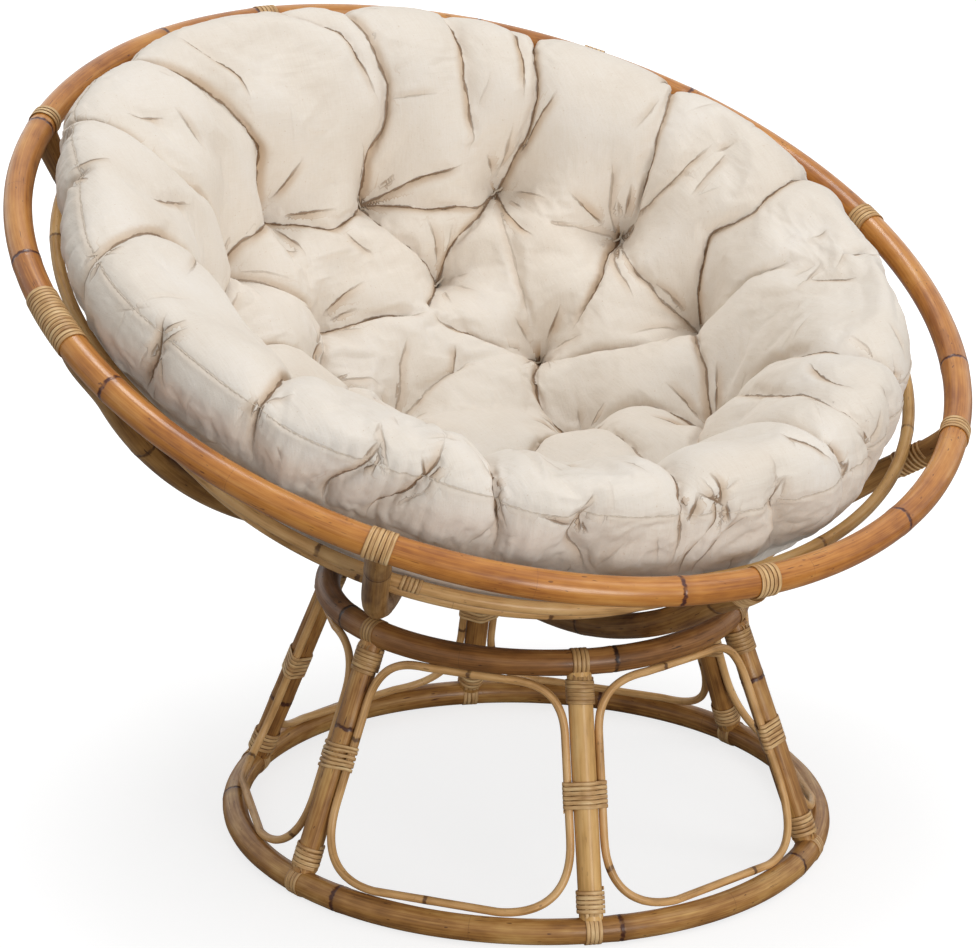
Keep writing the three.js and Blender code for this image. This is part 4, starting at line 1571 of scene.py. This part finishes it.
    def _press(self, valleys: list[Line]) -> np.ndarray:
        """Presses the tufts and valleys into the plain pad.

        Args:
            valleys: The lines that are pressed in.

        Returns:
            The pressed grid.
        """
        points = self.plain.reshape(-1, 3)
        normals = self.plain_normals.reshape(-1, 3)
        sunk = np.zeros(len(points))
        for valley in valleys:
            found, at, gap, _ = near_line(valley, points, 50 * MM)
            sunk[found] += (valley.depth[at] * np.exp(-((gap / valley.width[at]) ** 1.15))) ** 3
        sunk = np.cbrt(sunk)
        count = len(self.outer_tufts)
        for k, tuft in enumerate(self.tufts):
            spot = self._at(*tuft)[0]
            away = np.linalg.norm(points - spot, axis=1)
            pull = (50 if k < count else 38) * MM
            pit = pull * np.exp(-((away / (19 * MM)) ** 1.1)) + 14 * MM * np.exp(-((away / (60 * MM)) ** 2))
            sunk = np.maximum(sunk, 0) + pit - np.minimum(sunk, pit) * 0.6
        return (points - normals * sunk[:, None]).reshape(self.plain.shape)

    def _remesh(self, pressed: np.ndarray) -> bpy.types.Object:
        """Turns the pressed grid into an even mesh that remembers where each point was on the plain pad.

        Args:
            pressed: Points by angle and place along the section.

        Returns:
            The object, still in the bowl's frame.
        """
        around, along = pressed.shape[:2]
        points = pressed[:, 1:-1].reshape(-1, 3).tolist()
        rows = along - 2
        i, j = np.meshgrid(np.arange(around), np.arange(rows - 1), indexing="ij")
        n = (i + 1) % around
        corners = [i * rows + j, n * rows + j, n * rows + j + 1, i * rows + j + 1]
        faces = np.stack(corners, axis=-1).reshape(-1, 4).tolist()
        points += [pressed[0, 0].tolist(), pressed[0, -1].tolist()]
        for k in range(around):
            m = (k + 1) % around
            faces.append([len(points) - 2, m * rows, k * rows])
            faces.append([len(points) - 1, k * rows + rows - 1, m * rows + rows - 1])
        mesh = bpy.data.meshes.new("pad_form")
        mesh.from_pydata(points, [], faces)
        form = bpy.data.objects.new("pad_form", mesh)
        bpy.context.scene.collection.objects.link(form)
        remesh = form.modifiers.new("even", "REMESH")
        remesh.mode = "VOXEL"
        remesh.voxel_size = self.voxel
        pad = plain_copy(form, "pad")
        flats = self.plain[:, 1:-1].reshape(-1, 3)
        flats = np.vstack([flats, self.plain[0, 0], self.plain[0, -1]])
        thirds = [(face[0], *pair) for face in faces for pair in zip(face[1:], face[2:])]
        tree = BVHTree.FromPolygons(points, thirds)
        spots = vectors(pad)
        flat = np.empty_like(spots)
        for k, spot in enumerate(spots):
            near, _, index, _ = tree.find_nearest(Vector(spot))
            ends = [Vector(side[corner]) for side in (points, flats) for corner in thirds[index]]
            flat[k] = barycentric_transform(near, *ends)
        layer = pad.data.attributes.new("plain_place", "FLOAT_VECTOR", "POINT")
        layer.data.foreach_set("vector", averaged(pad, flat, 5).astype(np.float32).ravel())
        bpy.data.objects.remove(form)
        log.info("pad form: %d points", len(spots))
        return pad

    def _swell(self, pad: bpy.types.Object) -> None:
        """Swells the pad by cloth simulation, held at its underside and tufts.

        Args:
            pad: The remeshed pad, whose points are moved.
        """
        start = vectors(pad)
        flat = vectors(pad, "plain_place")
        polar = np.arctan2(np.hypot(flat[:, 0], flat[:, 1]), -flat[:, 2])
        held = pad.vertex_groups.new(name="held")
        hold = np.zeros(len(start))
        hold[(np.linalg.norm(flat, axis=1) > self.under_sphere - 6 * MM) & (polar < math.radians(52))] = 1
        for tuft in self.tufts:
            near = np.linalg.norm(flat - self._at(*tuft)[0], axis=1)
            hold = np.maximum(hold, (near < 9 * MM).astype(float))
        held.add([int(k) for k in np.nonzero(hold)[0]], 1.0, "REPLACE")
        cloth = pad.modifiers.new("canvas", "CLOTH")
        cloth.settings.vertex_group_mass = "held"
        cloth.settings.quality = 2
        cloth.settings.mass = 0.25
        cloth.settings.tension_stiffness = 18
        cloth.settings.compression_stiffness = 6
        cloth.settings.shear_stiffness = 6
        cloth.settings.bending_stiffness = 0.08
        cloth.settings.use_pressure = True
        cloth.settings.uniform_pressure_force = 4.5
        cloth.settings.shrink_min = -0.07
        cloth.settings.effector_weights.gravity = 0
        cloth.point_cache.frame_start = 1
        cloth.point_cache.frame_end = self.frames
        scene = bpy.context.scene
        for step in range(1, self.frames + 1):
            scene.frame_set(step)
        graph = bpy.context.evaluated_depsgraph_get()
        moved = vectors(pad.evaluated_get(graph)) - start
        pad.modifiers.remove(cloth)
        pad.vertex_groups.clear()
        scene.frame_set(1)
        size = np.linalg.norm(moved, axis=1)
        log.info("pad swelled by up to %.1f mm, mean %.1f mm", size.max() / MM, size.mean() / MM)
        moved *= np.minimum(1, self.swell / np.maximum(size, 1e-9))[:, None]
        move_points(pad, start + moved)

    def _subdivide(self, pad: bpy.types.Object) -> bpy.types.Object:
        """Subdivides the pad once.

        Args:
            pad: The pad, which is removed.

        Returns:
            The finer pad.
        """
        pad.modifiers.new("finer", "SUBSURF").levels = 1
        finer = plain_copy(pad, "pad_fine")
        bpy.data.objects.remove(pad)
        return finer

    def _fine_lines(self, valleys: list[Line]) -> list[Line]:
        """Draws the fine creases: the valleys' own, rays out of the tufts, short ones on the roll, and the seam.

        Args:
            valleys: Lines of the folds.

        Returns:
            All the fine lines, whose depth is that of the crease.
        """
        rng = self.rng
        lines = [self._seam_line()]
        for k, tuft in enumerate(self.tufts):
            rays = 7 if k < len(self.outer_tufts) else 6
            turn = rng.uniform(0, 2 * math.pi)
            for r in range(rays):
                heading = turn + 2 * math.pi * r / rays + rng.uniform(-0.45, 0.45)
                lines.append(self._walk(tuft, heading, (16, 62), 8, (0.8, 2.0), (0.2, 0.75), 6 * MM))
        row = self.plain[0]
        top = int(np.argmax(row[:, 2]))
        edge = int(np.argmax(np.hypot(row[:, 0], row[:, 1])))
        for _ in range(150):
            spot = (rng.uniform(0, 2 * math.pi), rng.uniform(edge - 14, top + 20))
            heading = math.pi / 2 * rng.choice([1, -1]) + rng.normal(0, 0.55)
            lines.append(self._walk(spot, heading, (14, 60), 9, (0.8, 2.2), (0.0, 0.35)))
        # Where a fold crosses the seam, the canvas puckers.
        for spot in self.crossings:
            for k in range(6):
                heading = math.pi / 2 * (1 if k % 2 else -1) + rng.normal(0, 0.5)
                away = (spot[0] + rng.normal(0, 0.012), spot[1] + rng.normal(0, 3))
                lines.append(self._walk(away, heading, (14, 44), 14, (1.0, 2.8), (0.1, 0.8)))
        for valley in valleys:
            count = len(valley.points)
            uneven = 0.5 + 0.5 * np.interp(np.arange(count), np.linspace(0, count - 1, 7), rng.uniform(0, 1, 7))
            depth = np.minimum(valley.depth * 0.22, 4.2 * MM) * uneven
            mark = valley.mark * (0.35 + 0.65 * uneven)
            lines.append(Line(valley.points, valley.normals, depth, np.full(count, 3.0 * MM), mark))
        return lines

    def _seam_line(self) -> Line:
        """Draws the seam that runs round the roll, low on its outer side.

        Returns:
            The seam's line.
        """
        spots = []
        for turn in np.linspace(0, 2 * math.pi, 1500):
            stray = 2.5 * math.sin(5 * turn) + 2 * math.sin(11 * turn + 1)
            pulled_in = 12 * math.exp(-(((turn - math.radians(242)) / 0.25) ** 2))
            spots.append(self._unflat(self._flat(turn, self.seam_reach + (stray - pulled_in) * MM)))
        count = len(spots)
        return self._line(spots, np.full(count, 1.2 * MM), np.full(count, 1.8 * MM), np.full(count, 0.2))

    def _walk(
        self, spot: Pair, heading: float, lengths: Pair, bend: float, depths: Pair, marks: Pair, skip: float = 0.0
    ) -> Line:
        """Draws a curved crease of random size from a point of the plain surface.

        Args:
            spot: Angle and place along the section where it starts.
            heading: Direction, 0 along the pad's rim and a quarter turn up the section.
            lengths: Least and greatest length, in mm.
            bend: Greatest turn of its direction either way, in radians per metre.
            depths: Least and greatest depth, in mm.
            marks: Least and greatest strength of its line.
            skip: Length left out at the start.

        Returns:
            The crease's line.
        """
        length = self.rng.uniform(*lengths) * MM
        bend = self.rng.uniform(-bend, bend)
        depth = self.rng.uniform(*depths) * MM
        mark = self.rng.uniform(*marks)
        step = 1.5 * MM
        angle, row = spot
        section = float(np.linalg.norm(self.plain[0, 1] - self.plain[0, 0]))
        spots = []
        travelled = 0.0
        while travelled < skip + length:
            if travelled >= skip:
                spots.append((angle, row))
            reach = float(np.hypot(*self._at(angle, row)[0][:2]))
            angle += step * math.cos(heading) / max(reach, 0.02)
            row = float(np.clip(row + step * math.sin(heading) / section, 2, self.along - 3))
            heading += bend * step
            travelled += step
        share = np.linspace(0, 1, len(spots))
        fade = np.minimum(1, (1 - share) * 2.2) * (0.35 + 0.65 * np.minimum(1, share * 5))
        # Close to a tuft, where the rays meet, they are dents only.
        clear = smooth(12 * MM, 26 * MM, skip + step * np.arange(len(spots))) if skip else 1.0
        return self._line(spots, depth * fade, np.full(len(spots), 2.6 * MM), mark * fade * clear)

    def _creases(self, pad: bpy.types.Object, lines: list[Line]) -> None:
        """Presses the fine creases and the gathers in, and marks the creases for the canvas's painted shade.

        Args:
            pad: The finished pad.
            lines: The fine creases.
        """
        flat = vectors(pad, "plain_place")
        count = len(flat)
        dent, ridge, best = np.zeros(count), np.zeros(count), np.zeros(count)
        marks = {"fold": np.ones(count), "fold_gap": np.ones(count), "fold_line": np.zeros(count)}
        for line in lines:
            found, at, gap, side = near_line(line, flat, 16 * MM)
            depth, width, mark = line.depth[at], line.width[at], line.mark[at]
            dent[found] = np.maximum(dent[found], depth * np.exp(-((gap / width) ** 1.4)))
            lip = 0.55 * depth * np.exp(-(((side - 2.2 * width) / (1.9 * width)) ** 2))
            ridge[found] = np.maximum(ridge[found], lip)
            # Where two lines are near, the stronger one gives the canvas its painted shade.
            score = (mark + 0.02) * np.exp(-gap / (4 * MM))
            better = score > best[found]
            best[found[better]] = score[better]
            for name, values in (("fold", side), ("fold_gap", gap), ("fold_line", mark)):
                marks[name][found[better]] = values[better]
        points = vectors(pad)
        normals = np.empty(len(points) * 3, np.float32)
        pad.data.vertex_normals.foreach_get("vector", normals)
        raised = ridge - dent + self._gathers(flat)
        move_points(pad, points + normals.reshape(-1, 3) * raised[:, None])
        for name, values in marks.items():
            layer = pad.data.attributes.new(name, "FLOAT", "POINT")
            layer.data.foreach_set("value", values.astype(np.float32))

    def _gathers(self, flat: np.ndarray) -> np.ndarray:
        """Gives the height of the small gathers that run down from the seam.

        Args:
            flat: Places on the plain pad.

        Returns:
            Height at each place.
        """
        angle = np.arctan2(flat[:, 0], -flat[:, 1])
        height = flat[:, 2] - self.roll_rise + self.bowl.rim_drop
        turn = np.arctan2(height, np.hypot(flat[:, 0], flat[:, 1]) - self.roll_reach)
        below = smooth(math.radians(62), math.radians(46), turn) * smooth(math.radians(-52), math.radians(-15), turn)
        waves = np.zeros(len(flat))
        for rate, size, slant in ((57, 1.1, 1.6), (91, 1.0, -2.2), (139, 0.7, 1.2)):
            phase = self.rng.uniform(0, 6.3)
            waves += size * np.sin(rate * angle + phase + 2.2 * np.sin(9 * angle + phase) + slant * turn)
        uneven = 0.55 + 0.45 * np.sin(7 * angle + 1.3) * np.sin(13 * angle + 0.4)
        return below * uneven * np.abs(waves) ** 0.8 * 1.5 * MM

    def _seat_in_frame(self, pad: bpy.types.Object) -> None:
        """Keeps the pad inside the bowl's rings and rim, and puts it where the bowl is.

        Args:
            pad: The pad, in the bowl's frame.
        """
        points = vectors(pad)
        size = np.linalg.norm(points, axis=1)
        polar = np.arctan2(np.hypot(points[:, 0], points[:, 1]), -points[:, 2])
        # The upper ring lies at a polar angle of 62 degrees; above it the roll swells out over it.
        limit = np.full(len(size), self.under_sphere)
        bulge = self.roll_sphere - self.under_sphere
        for rise, start, end in ((bulge, 52, 58), (16 * MM, 62.4, 65.2), (30 * MM, 66, 71)):
            limit += rise * smooth(math.radians(start), math.radians(end), polar)
        # The canvas bends over softly where the frame lets go of it.
        bend = (0.2 + 5.5 * smooth(math.radians(50), math.radians(56), polar)) * MM
        held_back = limit - bend * np.logaddexp(0, (limit - size) / bend)
        points *= (held_back / size)[:, None]
        # Points nearer than 20 mm to the rim's line are moved away from it.
        reach = np.hypot(points[:, 0], points[:, 1])
        gap = np.stack([reach - self.bowl.rim_radius, points[:, 2] + self.bowl.rim_drop], axis=1)
        away = np.linalg.norm(gap, axis=1)
        clear = 20 * MM
        near = away < clear
        gap[near] *= (clear / away[near])[:, None]
        share = (self.bowl.rim_radius + gap[:, 0]) / np.maximum(reach, 1e-6)
        points[near, :2] *= share[near, None]
        points[near, 2] = gap[near, 1] - self.bowl.rim_drop
        move_points(pad, self.bowl.world(points))


def grid_normals(grid: np.ndarray) -> np.ndarray:
    """Works out the outward normals of a grid that closes on itself in its first direction.

    Args:
        grid: Points by angle and place along the section.

    Returns:
        A unit vector for each point.
    """
    around = np.roll(grid, -1, axis=0) - np.roll(grid, 1, axis=0)
    along = np.gradient(grid, axis=1)
    normals = np.cross(around, along)
    size = np.linalg.norm(normals, axis=2)
    normals /= np.maximum(size, 1e-12)[:, :, None]
    normals[:, 0] = (0, 0, -1)
    normals[:, -1] = (0, 0, 1)
    return normals


def averaged(item: bpy.types.Object, values: np.ndarray, rounds: int) -> np.ndarray:
    """Evens out vectors over a mesh.

    Args:
        item: Mesh object.
        values: Vector of each of its points.
        rounds: Number of times that each is drawn towards its neighbours' mean.

    Returns:
        The evened vectors.
    """
    ends = np.empty(len(item.data.edges) * 2, np.int32)
    item.data.edges.foreach_get("vertices", ends)
    a, b = ends.reshape(-1, 2).T
    count = np.bincount(ends, minlength=len(values))[:, None]
    for _ in range(rounds):
        size = len(values)
        total = [np.bincount(a, v[b], size) + np.bincount(b, v[a], size) for v in values.T]
        values = 0.4 * values + 0.6 * np.stack(total, axis=1) / count
    return values


def near_line(line: Line, points: np.ndarray, reach: float) -> tuple[np.ndarray, np.ndarray, np.ndarray, np.ndarray]:
    """Finds the points near a line.

    Args:
        line: Line with points a few millimetres apart.
        points: Points that are looked up.
        reach: Greatest distance.

    Returns:
        The numbers of the points within reach, and for each of them the number of the line's nearest
        point, the distance, and the signed distance across the line.
    """
    gap = np.full(len(points), np.inf)
    at = np.zeros(len(points), int)
    for first in range(0, len(line.points), 30):
        run = line.points[first : first + 30]
        inside = np.nonzero(((points > run.min(axis=0) - reach) & (points < run.max(axis=0) + reach)).all(axis=1))[0]
        away = np.linalg.norm(points[inside, None] - run[None], axis=2)
        best = away.argmin(axis=1)
        size = away[np.arange(len(inside)), best]
        closer = size < gap[inside]
        gap[inside[closer]] = size[closer]
        at[inside[closer]] = first + best[closer]
    found = np.nonzero(gap < reach)[0]
    across = line.sides()[at[found]]
    return found, at[found], gap[found], ((points[found] - line.points[at[found]]) * across).sum(axis=1)


def vectors(item: bpy.types.Object, name: str = "position") -> np.ndarray:
    """Reads a vector attribute of a mesh object.

    Args:
        item: Mesh object.
        name: Name of the attribute; its points are read without one.

    Returns:
        The vector of each point.
    """
    values = np.empty(len(item.data.vertices) * 3, np.float32)
    item.data.attributes[name].data.foreach_get("vector", values)
    return values.reshape(-1, 3).astype(float)


def move_points(item: bpy.types.Object, points: np.ndarray) -> None:
    """Moves a mesh object's points."""
    item.data.vertices.foreach_set("co", points.astype(np.float32).ravel())
    item.data.update()


# ---- Studio


@dataclass
class Studio:
    """Pale floor, soft light and the camera that stands where the photograph was taken."""

    centre: np.ndarray
    turn: float = math.radians(-38.19)
    distance: float = 3.926
    height: float = 1.7815
    pitch: float = 0.3375
    yaw: float = -0.0133
    roll: float = 0.0261
    focal_share: float = 3831.01 / 976
    floor_colour: str = "9A9A9A"
    near_glow: float = 0.76
    room_light: float = 0.56
    # Name, place in metres, width in metres, power in watts and colour of each soft box.
    lamps: tuple[tuple[str, tuple[float, float, float], float, float, tuple[float, float, float]], ...] = (
        ("key", (1.6, -2.2, 3.9), 1.8, 19.0, (1.0, 0.985, 0.96)),
        ("front", (-0.7, -4.4, 0.8), 2.0, 77.0, (1.0, 0.99, 0.98)),
        ("top", (0.1, 0.9, 4.2), 1.6, 50.0, (1.0, 1.0, 1.0)),
    )

    def camera(self) -> None:
        """Adds the camera."""
        data = bpy.data.cameras.new("camera")
        data.sensor_width = 36
        data.lens = 36 * self.focal_share
        data.clip_end = 100
        camera = bpy.data.objects.new("camera", data)
        level = math.cos(self.pitch)
        ahead = Vector((math.sin(self.yaw) * level, math.cos(self.yaw) * level, -math.sin(self.pitch)))
        right = ahead.cross(Vector((0, 0, 1))).normalized()
        up = right.cross(ahead)
        across = right * math.cos(self.roll) + up * math.sin(self.roll)
        above = up * math.cos(self.roll) - right * math.sin(self.roll)
        axes = Matrix((across, above, -ahead)).transposed()
        spin = Matrix.Rotation(self.turn, 3, "Z")
        place = spin @ Vector((0, -self.distance, self.height)) + Vector((self.centre[0], self.centre[1], 0))
        camera.matrix_world = Matrix.Translation(place) @ (spin @ axes).to_4x4()
        bpy.context.scene.collection.objects.link(camera)
        bpy.context.scene.camera = camera

    def floor(self) -> None:
        """Adds the floor."""
        mesh = bpy.data.meshes.new("floor")
        s = 12.0
        mesh.from_pydata([(-s, -s, 0), (s, -s, 0), (s, s, 0), (-s, s, 0)], [], [(0, 1, 2, 3)])
        floor = bpy.data.objects.new("floor", mesh)
        bpy.context.scene.collection.objects.link(floor)
        material, tree = new_material("white_paper_floor")
        add = partial(add_node, tree)
        # The paper is lit from behind towards its edges, which only the camera sees.
        spot = add("SeparateXYZ", {0: add("TexCoord").outputs["Object"]})
        level = add("CombineXYZ", {0: spot.outputs[0], 1: spot.outputs[1]})
        reach = add("VectorMath", {0: level}, operation="LENGTH").outputs["Value"]
        glow = add("MapRange", {"Value": reach, 1: 0.35, 2: 1.5, 3: self.near_glow, 4: 1.0})
        seen = add("LightPath").outputs["Is Camera Ray"]
        strength = add("Math", {0: glow, 1: seen}, operation="MULTIPLY")
        paper = {"Base Color": linear(self.floor_colour), "Roughness": 0.9, "Specular IOR Level": 0.0}
        paper |= {"Emission Color": (1, 1, 1, 1), "Emission Strength": strength}
        shader = add("BsdfPrincipled", paper)
        add("OutputMaterial", {"Surface": shader})
        mesh.materials.append(material)

    def lights(self) -> None:
        """Adds the white surroundings and the soft boxes."""
        world = bpy.data.worlds.new("studio")
        bpy.context.scene.world = world
        world.use_nodes = True
        tree = world.node_tree
        tree.nodes.clear()
        add = partial(add_node, tree)
        rays = add("LightPath").outputs
        straight = add("Math", {0: rays["Is Camera Ray"], 1: rays["Is Glossy Ray"]}, operation="MAXIMUM")
        seen = add("Math", {0: straight, 1: rays["Is Transmission Ray"]}, operation="MAXIMUM")
        strength = add("MapRange", {"Value": seen, 1: 0.0, 2: 1.0, 3: self.room_light, 4: 1.0})
        sky = add("Background", {"Color": (1.0, 1.0, 1.0, 1.0), "Strength": strength})
        add("OutputWorld", {"Surface": sky})
        for name, place, size, power, colour in self.lamps:
            light = bpy.data.lights.new(name, "AREA")
            light.shape = "DISK"
            light.size = size
            light.energy = power
            light.color = colour
            lamp = bpy.data.objects.new(name, light)
            lamp.location = place
            lamp.rotation_euler = (Vector((0, 0, 0.45)) - Vector(place)).to_track_quat("-Z", "Y").to_euler()
            bpy.context.scene.collection.objects.link(lamp)


def finishes() -> dict[str, bpy.types.Material]:
    """Builds the chair's materials.

    Returns:
        The materials by short name.
    """
    kinds = {
        "rim": RattanFinish("varnished_rattan_rim", "96581F", "BB7932", "D2954A", "4A1A08", 1.0, 0.8, 0.36, 0.45),
        "stand": RattanFinish("varnished_rattan_stand", "724A21", "A3733B", "CBA060", "45200D"),
        # A darker copy of the stand's rattan, with painted shade, for the top ring under the bowl.
        "stand_painted_shade": RattanFinish("rattan_stand_painted_shade", "5C3A1A", "87592C", "AA7A44", "2A1408"),
        # A lighter copy of the stand's rattan, with painted light, for the front leg, whose scars and flecks are also
        # fainter.
        "leg_front_painted_light": RattanFinish("rattan_front_leg_painted_light", "AE8446", "D2A565", "E4BE80", "5C3D22", 0.6, 0.3),
        "arm": RattanFinish("varnished_rattan_arm", "6B4622", "956C39", "B88C52", "3C2211", 0.7),
        "thin": RattanFinish("varnished_rattan_core", "99703E", "CFA168", "E2BC84", "4A2B15", 0.8, 0.6),
        "thin_pale": RattanFinish("peeled_rattan_core", "AC8048", "D4A868", "E2C084", "5C3A1C", 0.7, 0.5),
        "peel": PeelFinish("rattan_peel", "94683A", "CCA470", "E4C795"),
        # A darker copy of the peel, with painted shade, for the bindings at the top ring under the bowl.
        "peel_painted_shade": PeelFinish("rattan_peel_painted_shade", "79532B", "B18A57", "CFAC78"),
        "canvas": CanvasFinish("natural_cotton_canvas", "E5DCD0", "E9E2D9", "DFD4C6", "BC9A72", "6B4C2E"),
        "thread": PeelFinish("cotton_thread", "C6B8A2", "DACEBD", "E7DED1", 0.8),
    }
    return {name: kind.build() for name, kind in kinds.items()}


def main() -> None:
    """Builds the chair and its studio."""
    logging.basicConfig(level=logging.INFO, format="%(relativeCreated)6d ms  %(message)s")
    scene = bpy.context.scene
    scene.view_settings.view_transform = "Standard"
    low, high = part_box("base_bottom_ring")
    centre = np.array([(low.x + high.x) / 2, (low.y + high.y) / 2, 0.0])
    tilt_joint = next(j for j in frame["record"]["behaviour"]["joints"] if j["name"] == "bowl_tilt")
    studio = Studio(centre)
    studio.camera()
    studio.floor()
    studio.lights()
    sweeps = SweepTree(finishes())
    Stand(sweeps, centre).build()
    bowl = Bowl(sweeps, np.array(tilt_joint["pos_m"]))
    bowl.build()
    Cushion(bowl, sweeps).build()


if __name__ == "__main__":
    main()
